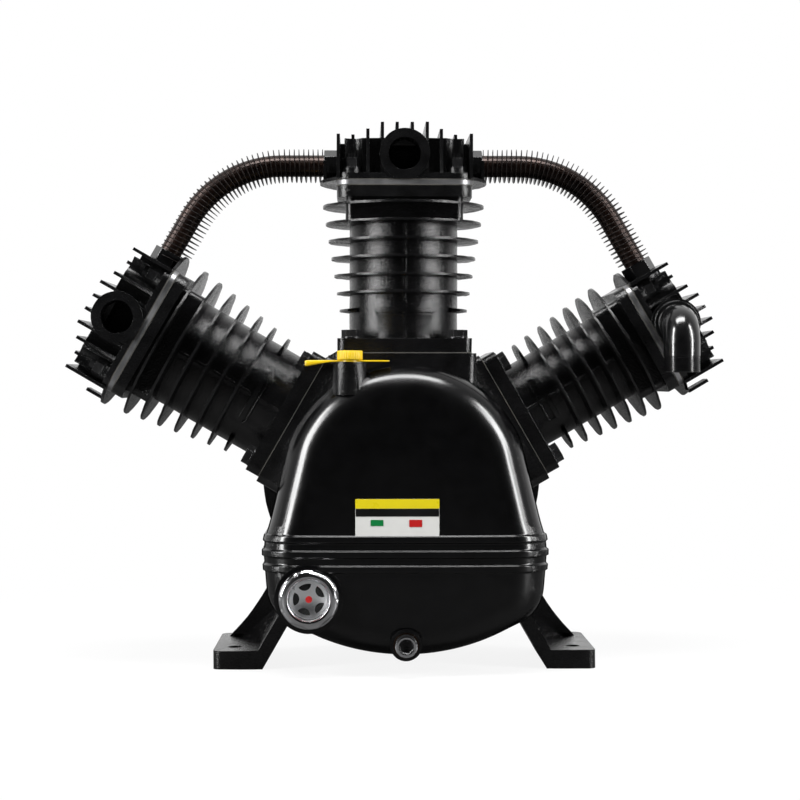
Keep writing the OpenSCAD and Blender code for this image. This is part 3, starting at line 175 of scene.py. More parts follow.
for node, thing in frame["nodes"].items():
    thing.data.materials.clear()
    thing.data.materials.append(paints[slotOf[node]])
print("stage: materials set")


# numpy surfaces: a shell is a grid of points (rows x columns x 3) in millimetres
def gridFaces(rows, columns):
    # quads between neighbouring rows and columns; the last column joins the first
    r, c = np.meshgrid(np.arange(rows - 1), np.arange(columns), indexing="ij")
    a, b = r * columns + c, r * columns + (c + 1) % columns
    return np.stack([a, b, b + columns, a + columns], -1).reshape(-1, 4)


def capped(points):
    # first and last rows shrink to their own middle, which closes the shell
    first, last = points[:1].mean(1, keepdims=True), points[-1:].mean(1, keepdims=True)
    n = points.shape[1]
    return np.concatenate([np.repeat(first, n, 1), points, np.repeat(last, n, 1)])


def makePiece(name, shells, body, slot, nodes=(), angle=40):
    # shells become one mesh in metres; doubles at poles and seams merge and faces turn outwards
    points, faces, start = [], [], 0
    for shell in shells:
        points.append(shell.reshape(-1, 3))
        faces.append(gridFaces(shell.shape[0], shell.shape[1]) + start)
        start += points[-1].shape[0]
    mesh = bpy.data.meshes.new(name)
    mesh.from_pydata((np.concatenate(points) * mm).tolist(), [], np.concatenate(faces).tolist())
    work = bmesh.new()
    work.from_mesh(mesh)
    bmesh.ops.remove_doubles(work, verts=work.verts, dist=1e-6)
    bmesh.ops.dissolve_degenerate(work, edges=work.edges, dist=1e-7)
    bmesh.ops.recalc_face_normals(work, faces=work.faces)
    work.to_mesh(mesh)
    work.free()
    mesh.shade_smooth()
    mesh.set_sharp_from_angle(angle=math.radians(angle))
    piece = bpy.data.objects.new(name, mesh)
    bpy.context.scene.collection.objects.link(piece)
    mesh.materials.append(paints[slot])
    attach(piece, body)
    if nodes:
        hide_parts(*nodes)
    return piece


def lumps(points, size, seed, cells=32):
    # smooth random field: seeded values on a lattice of the given size, blended between lattice points
    draw = np.random.default_rng(seed)
    table = draw.uniform(-1, 1, (cells, cells, cells))
    p = points / size
    low = np.floor(p).astype(int)
    t = p - low
    t = t * t * (3 - 2 * t)
    total = 0
    for corner in np.ndindex(2, 2, 2):
        k = (low + corner) % cells
        weight = np.prod(np.where(np.array(corner), t, 1 - t), -1)
        total = total + weight * table[k[..., 0], k[..., 1], k[..., 2]]
    return total


def circle(steps):
    # angles once round, without the repeated end
    return np.linspace(0, 2 * math.pi, steps, endpoint=False)


def directions(a):
    # unit directions in the plan for the given angles
    return np.stack([np.cos(a), np.sin(a)], -1)


def roundOutline(width, depth, radius, steps=8):
    # rounded rectangle in the plan, counter-clockwise, with its outward directions
    turns = np.linspace(0, math.pi / 2, steps)
    points, normals = [], []
    for k, (sx, sy) in enumerate(((1, 1), (-1, 1), (-1, -1), (1, -1))):
        normals.append(directions(turns + k * math.pi / 2))
        points.append(np.array([sx * (width / 2 - radius), sy * (depth / 2 - radius)]) + radius * normals[-1])
    return np.concatenate(points), np.concatenate(normals)


def arcs(radius, steps=4):
    # inset and rise of a rounded edge, from the side to the face
    a = np.linspace(0, math.pi / 2, steps)
    return radius * (1 - np.cos(a)), radius * np.sin(a)


def slab(outline, low, high, edge, steps=4):
    # the outline carried from low to high, drawn in by a rounded edge at both ends, then capped
    points, normals = outline
    inset, rise = arcs(edge, steps)
    draw = np.concatenate([inset[::-1], inset])
    level = np.concatenate([low + edge - rise[::-1], high - edge + rise])
    rows = points[None] - draw[:, None, None] * normals[None]
    heights = np.broadcast_to(level[:, None, None], (len(level), len(points), 1))
    return capped(np.concatenate([rows, heights], -1))


def turned(profile, steps=96):
    # a profile of (radius, height) pairs turned about the height axis
    profile = np.asarray(profile, float)
    a = circle(steps)
    r, h = profile[:, :1], profile[:, 1:]
    return np.stack([r * np.cos(a), r * np.sin(a), np.broadcast_to(h, (len(profile), steps))], -1)


def roundedProfile(corners, edge, steps=3):
    # a polyline of (radius, height) whose corners are each rounded by the given edge
    corners = np.asarray(corners, float)
    out = [corners[:1]]
    for before, corner, after in zip(corners[:-2], corners[1:-1], corners[2:]):
        inward, outward = before - corner, after - corner
        reach = min(edge, np.linalg.norm(inward) * 0.45, np.linalg.norm(outward) * 0.45)
        a = corner + inward / np.linalg.norm(inward) * reach
        b = corner + outward / np.linalg.norm(outward) * reach
        t = np.linspace(0, 1, steps)[:, None]
        out.append((1 - t) ** 2 * a + 2 * t * (1 - t) * corner + t ** 2 * b)
    out.append(corners[-1:])
    return np.concatenate(out)


def rings(rows, a):
    # rings from (radius, height) pairs; a radius is one number or one for each angle
    flat = np.ones_like(a)
    return np.stack([np.stack([r * np.cos(a), r * np.sin(a), h * flat], -1) for r, h in rows])


def hexagonEdge(a, flats, turn):
    # distance from the middle of a hexagon to its sides, for each angle
    return flats / np.cos((a + turn) % (math.pi / 3) - math.pi / 6)


def moved(shell, x=0.0, y=0.0, z=0.0):
    return shell + np.array([x, y, z])


def facing(shell, x, face, z):
    # height turned to run out of the casing towards the camera, starting on the given face
    return np.stack([x + shell[..., 0], face - shell[..., 2], z + shell[..., 1]], -1)


def toBank(shell, i):
    # from the frame of a cylinder (height along its axis, from the crank axis) into the pump's frame
    a = math.radians((i - 1) * pump["bankAngle"])
    x, y, h = shell[..., 0], shell[..., 1], shell[..., 2]
    return np.stack([x * math.cos(a) + h * math.sin(a), y + (i - 1) * pump["stagger"],
                     pump["crankZ"] - x * math.sin(a) + h * math.cos(a)], -1)


# sizes that several pieces share, in mm
pump = {
    "crankZ": 175,
    "stagger": 20,
    "bankAngle": 60,  # degrees
    "banks": ("left", "centre", "right"),
    "barrel": (52, 52, 43),
}


# castings: the CAD shape with its edges rounded as sand casting leaves them
castingSet = {
    "crankcase": {"slot": "black_casting_paint", "round": 2.2, "wave": 0.25},
    "bearing_housing": {"slot": "black_casting_paint", "round": 1.5, "wave": 0.2},
    "cylinder_left": {"slot": "black_casting_paint", "round": 0.7, "wave": 0.3},
    "cylinder_centre": {"slot": "black_casting_paint", "round": 0.7, "wave": 0.3},
    "cylinder_right": {"slot": "black_casting_paint", "round": 0.7, "wave": 0.3},
    "head_left": {"slot": "black_casting_paint", "round": 0.9, "wave": 0.3},
    "head_centre": {"slot": "black_casting_paint", "round": 0.9, "wave": 0.3},
    "head_right": {"slot": "black_casting_paint", "round": 0.9, "wave": 0.3},
    "discharge_elbow": {"slot": "black_elbow_paint", "round": 0.8, "wave": 0},
    "base_bolts": {"slot": "dark_bolts", "round": 0.6, "wave": 0},
    "head_nuts": {"slot": "dark_bolts", "round": 0.6, "wave": 0},
    "bearing_housing_bolts": {"slot": "dark_bolts", "round": 0.6, "wave": 0},
    "tube_nuts": {"slot": "black_elbow_paint", "round": 0.8, "wave": 0},
}
castingRule = {
    "flat": 1.0, "sharp": 38, "bevelled": 40,  # degrees between faces
    "segments": 2,
    "waveSize": 9.0,  # mm
}


def roundedCopy(node, v):
    # a copy of the node: doubles merged, flat faces joined, a little wavy, edges bevelled
    source = frame["nodes"][node]
    flat, sharp, bevelled = (math.radians(castingRule[key]) for key in ("flat", "sharp", "bevelled"))
    work = bmesh.new()
    work.from_mesh(source.data)
    bmesh.ops.remove_doubles(work, verts=work.verts, dist=2e-6)
    bmesh.ops.dissolve_degenerate(work, edges=work.edges, dist=1e-6)
    bmesh.ops.dissolve_limit(work, angle_limit=flat, verts=work.verts, edges=work.edges)
    mesh = bpy.data.meshes.new(node + "Casting")
    work.to_mesh(mesh)
    work.free()
    if v["wave"]:
        points = np.empty(len(mesh.vertices) * 3)
        mesh.vertices.foreach_get("co", points)
        points = points.reshape(-1, 3)
        drift = np.stack([lumps(points / mm, castingRule["waveSize"], seed) for seed in (1, 2, 3)], -1)
        mesh.vertices.foreach_set("co", (points + drift * v["wave"] * mm).ravel())
    mesh.shade_smooth()
    mesh.set_sharp_from_angle(angle=sharp)
    mesh.materials.append(paints[v["slot"]])
    piece = bpy.data.objects.new(node + "Casting", mesh)
    bpy.context.scene.collection.objects.link(piece)
    soften = piece.modifiers.new("soften", "BEVEL")
    soften.width = v["round"] * mm
    soften.segments = castingRule["segments"]
    soften.limit_method = "ANGLE"
    soften.angle_limit = bevelled
    soften.use_clamp_overlap = True
    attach(piece, bodyOf[node])
    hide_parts(node)
    return piece


bodyOf = {n: body for body, members in frame["record"]["behaviour"]["bodies"].items() for n in members}
for node, v in castingSet.items():
    roundedCopy(node, v)
print("stage: castings rounded")


# front cover: the smooth dome with three ribs, worked out as depth over its outline
coverSet = {
    "topRadius": 115, "drop": 5, "halfWidth": 130, "sideRadius": 60, "sideZ": -62,
    "lowX": 88, "lowZ": -93, "lowRadius": 40, "bottom": 158, "floorRadius": 199,
    "front": 112, "crown": 4, "crownReach": 70, "edge": 30, "rear": 86,
    "ribs": 3, "ribLow": -76.5, "ribPitch": 13.5, "ribWidth": 6.4, "ribOut": 1.9,
    "ribReach": 0.75,  # fine rows go this share of a rib's width to each side of its middle
    "ribFlank": 0.5,  # a rib's soft side, as a share of half its width
    "outlineSteps": 1600, "blurReach": 16, "blurWidth": 7,
    "ribSteps": 17, "acrossSteps": 181, "sideSteps": 11,
    "middle": (0, 0, -30),  # a point well inside the casing
    "proud": 0.4,  # stands this much outside the CAD facets
    "sightHole": (-88, -103, 20, -90), "drainHole": (0, -145, 8.2, -88),  # x, z from the crank, radius, floor
}


def halfOutline(v):
    # right half of the outline from four arcs, top to bottom, blurred a little where they meet
    def arc(cx, cz, r, a0, a1, n):
        return np.array([cx, cz]) + r * directions(np.radians(np.linspace(a0, a1, n)))
    half = np.concatenate([
        arc(0, -v["drop"], v["topRadius"], 90, 22, 40),
        arc(v["halfWidth"] - v["sideRadius"], v["sideZ"], v["sideRadius"], 24, -8, 20),
        arc(v["lowX"], v["lowZ"], v["lowRadius"], -14, -66, 24),
        arc(0, v["floorRadius"] - v["bottom"], v["floorRadius"], -60, -90, 24)])
    loop = np.concatenate([half[:0:-1] * [-1, 1], half, half[-2::-1] * [-1, 1]])
    length = np.concatenate([[0], np.cumsum(np.linalg.norm(np.diff(loop, axis=0), axis=1))])
    at = np.linspace(0, length[-1], v["outlineSteps"])
    even = np.stack([np.interp(at, length, loop[:, k]) for k in (0, 1)], -1)
    blur = np.exp(-0.5 * (np.arange(-v["blurReach"], v["blurReach"] + 1) / v["blurWidth"]) ** 2)
    soft = np.stack([np.convolve(even[:, k], blur / blur.sum(), "valid") for k in (0, 1)], -1)
    start = np.argmax(soft[:, 1])
    stop = start + np.argmin(soft[start:, 1])
    out = soft[start:stop + 1]
    out[0, 0] = out[-1, 0] = 0
    return out


def distanceInside(x, z, half):
    # distance from each point to the nearest stretch of the whole outline; the outermost points lie on it
    loop = np.concatenate([half, half[-2:0:-1] * [-1, 1]])[::3]
    loop = np.concatenate([loop, loop[:1]])
    inside = np.full(x.shape, np.inf)
    for a, b in zip(loop[:-1], loop[1:]):
        along = b - a
        t = np.clip(((x - a[0]) * along[0] + (z - a[1]) * along[1]) / (along @ along), 0, 1)
        inside = np.minimum(inside, np.hypot(x - a[0] - t * along[0], z - a[1] - t * along[1]))
    inside[:, [0, -1]] = 0
    inside[[0, -1]] = 0
    return inside


def domeDepth(inside, v):
    # a quarter circle in from the outline, then a slight crown
    e = v["edge"]
    depth = e - v["front"] - np.sqrt(np.clip(e ** 2 - (e - np.clip(inside, 0, e)) ** 2, 0, None))
    far = np.clip((inside - e / 2) / v["crownReach"], 0, 1)
    return depth - v["crown"] * far * (2 - far) - v["proud"]


def ribSwell(z, ribs, v):
    # 1 on a rib's back and 0 beside it
    off = np.abs(z[..., None] - ribs).min(-1) / (v["ribWidth"] / 2)
    swell = np.clip(1 + v["ribFlank"] / 2 - off, 0, v["ribFlank"]) / v["ribFlank"]
    return swell * swell * (3 - 2 * swell)


def skinNormals(points, middle):
    # unit directions square to the skin, pointing away from the middle
    normal = np.cross(np.gradient(points, axis=1), np.gradient(points, axis=0))
    normal /= np.maximum(np.linalg.norm(normal, axis=-1, keepdims=True), 1e-9)
    return normal * np.sign((normal * (points - middle)).sum(-1).mean())


def pressedIn(points, v):
    # under the sight glass and the drain plug the skin stays behind a floor
    for x, z, radius, floor in (v["sightHole"], v["drainHole"]):
        front = points[..., 1]
        near = (np.hypot(points[..., 0] - x, points[..., 2] - z) < radius) & (front < 0)
        points[..., 1] = np.where(near, np.maximum(front, floor), front)
    return points


def coverShell(v):
    # rows of equal height from the top down; columns come forward on one side, cross the dome and go back
    half = halfOutline(v)
    ribs = v["ribLow"] + np.arange(v["ribs"]) * v["ribPitch"]
    around = np.linspace(-1, 1, v["ribSteps"]) * v["ribWidth"] * v["ribReach"]
    heights = np.concatenate([half[::5, 1], (ribs[:, None] + around).ravel(), half[-1:, 1]])
    heights = np.unique(heights.round(3))[::-1]
    wide = np.interp(heights, half[::-1, 1], half[::-1, 0]) + v["proud"]
    wide[0] = wide[-1] = 0
    heights, wide = heights[:, None], wide[:, None]
    front = wide * np.sin(np.linspace(-math.pi / 2, math.pi / 2, v["acrossSteps"]))
    depth = domeDepth(distanceInside(front, heights, half), v)
    side = np.repeat(wide, v["sideSteps"], 1)
    back = np.linspace(v["rear"], v["edge"] - v["front"], v["sideSteps"], endpoint=False)
    back = np.broadcast_to(back, side.shape)
    x = np.concatenate([-side, front, side], 1)
    y = np.concatenate([back, depth, back[:, ::-1]], 1)
    points = np.stack([x, y, np.broadcast_to(heights, x.shape)], -1)
    swell = ribSwell(heights, ribs, v) * v["ribOut"]
    points = points + skinNormals(points, v["middle"]) * swell[..., None]
    return pressedIn(points, v) + [0, 0, pump["crankZ"]]


makePiece("frontCover", [coverShell(coverSet)], "pump_casing", "smooth_black_paint", angle=50)
print("stage: front cover made")


# finned cooler tubes: out of the centre head, round a bend, down into a side head; the fin is one wound strip
tubeSet = {
    "start": (63.5, 14.0, 477.5), "runOut": 48.2, "bend": 104.0, "turn": 60, "runDown": 61.5,
    "nutLength": 13, "nutGap": 1.5, "core": 10.2, "fin": 16.4, "finThick": 0.95, "pitch": 4.6,
    "finSunk": 0.6, "tip": 0.3, "tipShare": 0.7, "waverOut": 0.5, "waverAlong": 0.35, "waverShift": 7,
    "stepsPerTurn": 30,
}


def tubePath(s, v):
    # distance along the tube gives the point and the direction in the plane of the cylinders
    arcLength = v["bend"] * math.radians(v["turn"])
    a = np.clip((s - v["runOut"]) / v["bend"], 0, math.radians(v["turn"]))
    x = v["start"][0] + np.minimum(s, v["runOut"]) + v["bend"] * np.sin(a)
    z = v["start"][2] - v["bend"] * (1 - np.cos(a))
    down = np.clip(s - v["runOut"] - arcLength, 0, None)
    return x + down * np.cos(a), z - down * np.sin(a), a


def woundFin(v, side, seed):
    # a thin strip standing on the tube, carried along a screw line; its edge wavers a little
    total = v["runOut"] + v["bend"] * math.radians(v["turn"]) + v["runDown"]
    first = v["nutLength"] + v["nutGap"]
    count = int((total - 2 * first) / v["pitch"] * v["stepsPerTurn"])
    phase = np.linspace(0, count / v["stepsPerTurn"] * 2 * math.pi, count)[:, None]
    draw = np.random.default_rng(seed)
    waver = np.convolve(draw.uniform(-1, 1, count + 4), np.ones(5) / 5, "valid")[:, None]
    half, foot, shoulder = v["finThick"] / 2, v["core"] - v["finSunk"], v["fin"] - v["tip"]
    profile = np.array([(foot, -half), (shoulder, -half * v["tipShare"]), (v["fin"], 0),
                        (shoulder, half * v["tipShare"]), (foot, half)])
    reach, across = profile.T
    free = reach > v["core"]
    radius = reach + np.where(free, waver * v["waverOut"], 0)
    s = first + phase / (2 * math.pi) * v["pitch"] + across
    s = s + np.where(free, np.roll(waver, v["waverShift"], axis=0) * v["waverAlong"], 0)
    x, z, a = tubePath(s, v)
    up, out = radius * np.cos(phase), radius * np.sin(phase)
    return capped(np.stack([side * (x + up * np.sin(a)), v["start"][1] + out, z + up * np.cos(a)], -1))


for side, name in ((-1, "left"), (1, "right")):
    makePiece("woundFin" + name.capitalize(), [woundFin(tubeSet, side, 11 + side)], "pump_casing",
              "dark_tube_fins", ["tube_fins_" + name], angle=60)
print("stage: tube fins wound")


# sight glass: chrome bezel with a chamfered hexagon, silver disc with a red dot and five openings that are
# not cut but painted as shade: dark slabs lie on the disc where the holes look dark
sightSet = {
    "x": -88, "z": 72, "face": -117.0, "base": 1.3, "bore": 18.4, "ring": 27, "ringThick": 4.6,
    "flats": 25.0, "corner": 26.3, "hexTurn": 0.35, "top": 9.9, "sunk": 12,
    "lip": [(23.2, 0.7), (22.2, 0.1), (20.8, 0), (19.4, 0.5), (18.6, 1.6)],  # radius, depth below the top
    "disc": [(0, -0.4), (0, 1.6), (15.6, 1.6), (16.3, 2.1), (17.3, 2.2), (17.9, 1.8), (17.9, -0.4),
             (0, -0.4)],
    "holes": 5, "firstHole": 178, "holeAt": 14.6, "holeRadius": 6.1, "holeLimit": 14.3,
    "holeLevels": (1.2, 1.72),
    "dot": [(0, 1.2), (0, 1.85), (2.7, 1.85), (3.1, 1.7), (3.1, 1.2), (0, 1.2)],
    "boss": [(20.6, -12), (20.6, 0), (31.3, 0), (31.3, -14), (20.6, -14), (20.6, -12)],
    "bossRound": 1.2, "bossProud": 0.25,
}


def bezelShell(v):
    # a ring whose outer edge goes from round to a hexagon with cut corners, then in over a rounded lip
    a = circle(240)
    hexagon = np.minimum(hexagonEdge(a, v["flats"], v["hexTurn"]), v["corner"])
    bore, ring, low, top = v["bore"], v["ring"], v["base"], v["top"]
    mid = low + v["ringThick"]
    rows = [(bore, low - v["sunk"]), (bore + 0.8, low), (ring - 0.8, low), (ring, low + 0.8),
            (ring, mid - 1.2), (ring - 0.5, mid - 0.3), (hexagon + 0.2, mid), (hexagon, mid + 0.2),
            (hexagon, top - 2.6), (hexagon - 0.4, top - 2.0), (hexagon * 0.45 + 12.6, top - 0.9),
            *((radius, top - below) for radius, below in v["lip"]),
            (bore, top - 3), (bore, low - v["sunk"])]
    return rings(rows, a)


def holeOutline(v, turn):
    # the part of a small circle that lies inside the rim circle
    wheel = directions(circle(48))
    points = np.array([v["holeAt"], 0]) + v["holeRadius"] * wheel
    far = np.linalg.norm(points, axis=1, keepdims=True)
    points = np.where(far > v["holeLimit"], points * v["holeLimit"] / far, points)
    c, s = math.cos(math.radians(turn)), math.sin(math.radians(turn))
    turning = np.array([[c, s], [-s, c]])
    return points @ turning, wheel @ turning


def sightPiece(name, shells, slot, nodes=(), angle=40):
    v = sightSet
    shells = [facing(shell, v["x"], v["face"], v["z"]) for shell in shells]
    return makePiece(name, shells, "pump_casing", slot, nodes, angle)


# painted shade: a thin dark slab on the disc stands in for the dark depth of one opening
def openingShadeSlab(v, k):
    low, high = v["holeLevels"]
    return slab(holeOutline(v, v["firstHole"] + 360 / v["holes"] * k), low, high, 0.05, 2)


sightPiece("sightBezel", [bezelShell(sightSet)], "chrome_bezel", ["sight_bezel"], angle=28)
sightPiece("sightDisc", [turned(sightSet["disc"])], "silver_disc", ["sight_disc"])
# the openings' slabs take the black rubber finish as painted shade of the holes, not as rubber
openingShades = [openingShadeSlab(sightSet, k) for k in range(sightSet["holes"])]
sightPiece("sightOpeningShades", openingShades, "black_rubber", angle=30)
dotPiece = sightPiece("sightDot", [turned(sightSet["dot"], 48)], "silver_disc")
bossProfile = roundedProfile(sightSet["boss"], sightSet["bossRound"]) + [0, sightSet["bossProud"]]
sightPiece("sightBoss", [turned(bossProfile, 128)], "smooth_black_paint")
print("stage: sight glass made")


# oil filler: ribbed cap on a stem, and the bent tag held under it
fillerSet = {
    "x": -51, "y": -95, "top": 286.5, "cap": 11.6, "capLow": 1.9, "capHigh": 10.4, "capEdge": 0.9,
    "ribs": 30, "ribDeep": 0.28, "stem": 9.3, "stemLow": -19.5, "stemHigh": 2.6, "stemRound": 0.5,
    "tagUp": 0.1, "tagLeft": 41, "tagRight": 36, "tagWidth": 14, "tagThick": 1.6, "tagSquare": 0.35,
    "endRound": 3.0, "bendAt": 14, "endDrop": 4.6,
}


def capShell(v):
    # a circle whose edge ripples, drawn in over rounded edges
    a = circle(360)
    ripple = v["cap"] - v["ribDeep"] * (0.5 - 0.5 * np.cos(a * v["ribs"])) ** 2
    return slab((directions(a) * ripple[:, None], directions(a)), v["capLow"], v["capHigh"], v["capEdge"])


def tagShell(v):
    # a rounded strip; its left end hangs down and grows thick
    x0, x1 = -v["tagLeft"], v["tagRight"]
    s = np.linspace(0, 1, 60)
    x = x0 + (x1 - x0) * s
    wheel = directions(circle(28))
    square = np.sign(wheel) * np.abs(wheel) ** v["tagSquare"]
    ends = np.clip(np.minimum(s, 1 - s) * (x1 - x0) / v["endRound"], 0, 1)
    wide = v["tagWidth"] / 2 * (0.86 + 0.14 * np.sqrt(1 - (1 - ends) ** 2))
    left = np.clip((-v["bendAt"] - x) / (v["tagLeft"] - v["bendAt"]), 0, 1)
    low = -v["endDrop"] * left ** 1.3
    middle, half = (low + v["tagThick"]) / 2, (v["tagThick"] - low) / 2 * (0.8 + 0.2 * ends)
    y, z = wide[:, None] * square[:, 0], middle[:, None] + half[:, None] * square[:, 1]
    return capped(np.stack([np.broadcast_to(x[:, None], y.shape), y, z], -1))


def stemShell(v):
    corners = [(0, v["stemLow"]), (v["stem"], v["stemLow"]), (v["stem"], v["stemHigh"]), (0, v["stemHigh"])]
    return turned(roundedProfile(corners, v["stemRound"]), 64)


def makeFiller(v):
    at = (v["x"], v["y"], v["top"])
    makePiece("fillerCap", [moved(capShell(v), *at), moved(stemShell(v), *at)], "filler", "yellow_plastic",
              ["filler_plug"], angle=35)
    makePiece("fillerTag", [moved(tagShell(v), at[0], at[1], at[2] + v["tagUp"])], "filler", "yellow_plastic",
              ["filler_tag"], angle=35)


makeFiller(fillerSet)
print("stage: filler made")


# elbow thread: ridges around the lower end of the elbow
threadSet = {
    "x": 258.08, "y": -68.5, "low": 277.2, "ridges": 7, "pitch": 2.0,
    "root": 16.2, "crest": 17.2, "inner": 14.5,
}


def threadShell(v):
    # ridge k peaks halfway up its own pitch, so the edge is a zigzag between root and crest
    k = np.arange(v["ridges"])[:, None]
    step = np.array([(v["root"], 0.1), (v["crest"], 0.85), (v["crest"], 1.15), (v["root"], 1.9)])
    edge = np.stack([np.tile(step[:, 0], (v["ridges"], 1)), k * v["pitch"] + step[:, 1]], -1).reshape(-1, 2)
    high = v["ridges"] * v["pitch"]
    profile = np.concatenate([[(v["inner"], 0)], edge, [(v["inner"], high), (v["inner"], 0)]])
    return moved(turned(profile, 128), v["x"], v["y"], v["low"])


makePiece("elbowThread", [threadShell(threadSet)], bodyOf["discharge_elbow"], "black_elbow_paint", angle=30)


# drain plug: round head with a hexagon recess and a bare worn rim
drainSet = {
    "x": 0, "z": 30, "seat": -118.5, "head": 10.4, "top": 8.0, "recess": 5.5, "recessTurn": 0.2,
    "floor": 4.2, "shank": 7.8, "deep": 17.5, "wornSize": 1.6, "wornDeep": 0.07,
    "rim": [(6.9, 7.9), (6.9, 8.1), (7.5, 8.25), (9.2, 8.2), (9.9, 7.8), (9.9, 7.4), (6.9, 7.9)],
}


def drainShell(v):
    # rows from the shank's end over the head and down into the recess, whose outline is a hexagon
    a = circle(144)
    recess = hexagonEdge(a, v["recess"], v["recessTurn"])
    shank, head, top = v["shank"], v["head"], v["top"]
    rows = [(0, -v["deep"]), (shank, -v["deep"]), (shank, 0), (head - 0.5, 0), (head, 0.5), (head, top - 1.2),
            (head - 0.35, top - 0.35), (head - 1.2, top), (recess + 0.9, top), (recess, top - 0.8),
            (recess, v["floor"]), (0, v["floor"] - 0.8)]
    return facing(rings(rows, a), v["x"], v["seat"], v["z"])


def wornRim(v):
    # a thin ring on the head's edge, uneven by a fraction of a millimetre
    ring = turned(v["rim"], 96)
    worn = ring + lumps(ring, v["wornSize"], 5)[..., None] * v["wornDeep"]
    return facing(worn, v["x"], v["seat"], v["z"])


makePiece("drainHead", [drainShell(drainSet)], bodyOf["drain_plug"], "dark_bolts", ["drain_plug"], angle=35)
makePiece("drainRim", [wornRim(drainSet)], bodyOf["drain_plug"], "chrome_bezel", angle=50)
print("stage: elbow thread and drain plug made")


# barrels: the mould's seam up the front and the raised slot outline near the flange
barrelSet = {
    "seamX": 1.5, "seamWide": 1.3, "seamCorner": 0.5, "seam": (167, 260),
    "slotShare": 58 / 52, "slotHigh": 8.5, "slotFlat": 0.05, "slotAt": (160, 160, 152),
    "line": 1.5, "out": 1.2, "sunk": -0.8, "edge": 0.2, "steps": 200,
}


def onBarrel(shell, i):
    # x becomes arc length round the barrel, y height along its axis, the level stands out of the wall
    radius = pump["barrel"][i]
    a, r = shell[..., 0] / radius, radius + shell[..., 2]
    return toBank(np.stack([r * np.sin(a), -r * np.cos(a), shell[..., 1]], -1), i)


def evenLoop(points, steps):
    # a closed outline with its straight stretches divided, so that it can bend round the barrel
    at = np.linspace(0, len(points), steps, endpoint=False)
    index = np.arange(len(points) + 1)
    return np.stack([np.interp(at, index, np.append(points[:, k], points[0, k])) for k in (0, 1)], -1)


def barrelMarks(v, i):
    # a narrow upright ridge and the outline of a long rounded slot
    low, high = v["seam"]
    sunk, out, edge, line = v["sunk"], v["out"], v["edge"], v["line"]
    seam = slab(roundOutline(v["seamWide"], high - low, v["seamCorner"], 3), sunk, out, edge, 3)
    wide = v["slotShare"] * pump["barrel"][i]
    points, normals = roundOutline(wide, v["slotHigh"], v["slotHigh"] / 2 - v["slotFlat"])
    points, normals = evenLoop(points, v["steps"]), evenLoop(normals, v["steps"])
    rows = [(0, sunk), (0, out - edge), (edge, out), (line - edge, out), (line, out - edge), (line, sunk),
            (0, sunk)]
    slot = np.stack([np.insert(points - normals * inset, 2, level, axis=1) for inset, level in rows])
    seam, slot = moved(seam, v["seamX"], (low + high) / 2), moved(slot, 0, v["slotAt"][i])
    return [onBarrel(seam, i), onBarrel(slot, i)]


for i, bank in enumerate(pump["banks"]):
    makePiece("barrelMarks" + bank.capitalize(), barrelMarks(barrelSet, i), "pump_casing",
              "black_casting_paint", angle=50)
print("stage: barrel marks made")


# label: a bare plate with plain bands and blocks
labelSet = {
    "x": -8, "z": 145.5, "face": -117.0, "width": 76, "height": 34, "corner": 0.8,
    "sunk": -0.9, "proud": 0.05, "edge": 0.1,
    "inkCorner": 0.4, "inkThick": 0.2, "inkStep": 0.02, "inkEdge": 0.02,
    "marks": (  # x, z, width, height, color
        (0, 12.7, 76, 8.6, (0.68, 0.56, 0.01)),
        (0, 4.75, 75.4, 7.1, (0.003, 0.003, 0.003)),
        (-18.4, -4.6, 11.6, 5.6, (0.003, 0.17, 0.04)),
        (16.6, -5.0, 11.6, 6.6, (0.45, 0.012, 0.012)),
    ),
}


def flatPaint(name, color):
    # printed ink: the colour with a faint uneven tone
    darker = tuple(c * 0.92 for c in color)
    return finish(name, {"colors": (darker, color), "rough": (0.25, 0.38), "grain": (0.05, 0.001)})


def makeLabel(v):
    plate = slab(roundOutline(v["width"], v["height"], v["corner"], 4), v["sunk"], v["proud"], v["edge"], 2)
    plate = facing(plate, v["x"], v["face"], v["z"])
    makePiece("labelPlate", [plate], "pump_casing", "plain_label", ["label_plate"], angle=30)
    for k, (x, z, wide, high, color) in enumerate(v["marks"]):
        thick = v["inkThick"] + v["inkStep"] * k
        block = slab(roundOutline(wide, high, v["inkCorner"], 3), 0, thick, v["inkEdge"], 2)
        block = facing(block, v["x"] + x, v["face"], v["z"] + z)
        mark = makePiece("labelMark%02d" % k, [block], "pump_casing", "plain_label", angle=30)
        mark.data.materials[0] = flatPaint("labelInk%02d" % k, color)


makeLabel(labelSet)
dotPiece.data.materials[0] = flatPaint("sightDotInk", (0.70, 0.02, 0.02))
print("stage: label made")


# studio: pale floor that keeps the shadow, white world to the camera, soft lamps
studioSet = {
    "floorSize": 12.0,  # m
    "shadowReach": (0.30, 0.75),  # m, the floor turns to plain white between these distances
    "shadowShare": 0.12,  # how much of the lit floor shows to the camera
    "floorLight": 0.05,  # floor tone in reflections and bounces
    "floorSeen": 0.82,  # floor tone to the camera
    "floorRough": 0.6,
    "worldLevels": (0.012, 0.9),  # light from the camera's side and from behind the object
    "worldSpan": (-0.4, 0.6),  # the level changes while the direction's y goes from the first to the second
    "lamps": {
        "leftBox": {"place": (-1.7, -0.9, 0.9), "aim": (0, 0, 0.25), "size": (0.30, 1.8), "power": 52},
        "rightBox": {"place": (1.7, -0.9, 0.9), "aim": (0, 0, 0.25), "size": (0.26, 1.8), "power": 45},
        "topBox": {"place": (0, -0.5, 2.0), "aim": (0, 0, 0.2), "size": (1.4, 0.45), "power": 36},
    },
}


def mathNode(nodes, links, kind, one, other):
    node = nodes.new("ShaderNodeMath")
    node.operation = kind
    links.new(one, node.inputs[0])
    links.new(other, node.inputs[1])
    return node.outputs["Value"]


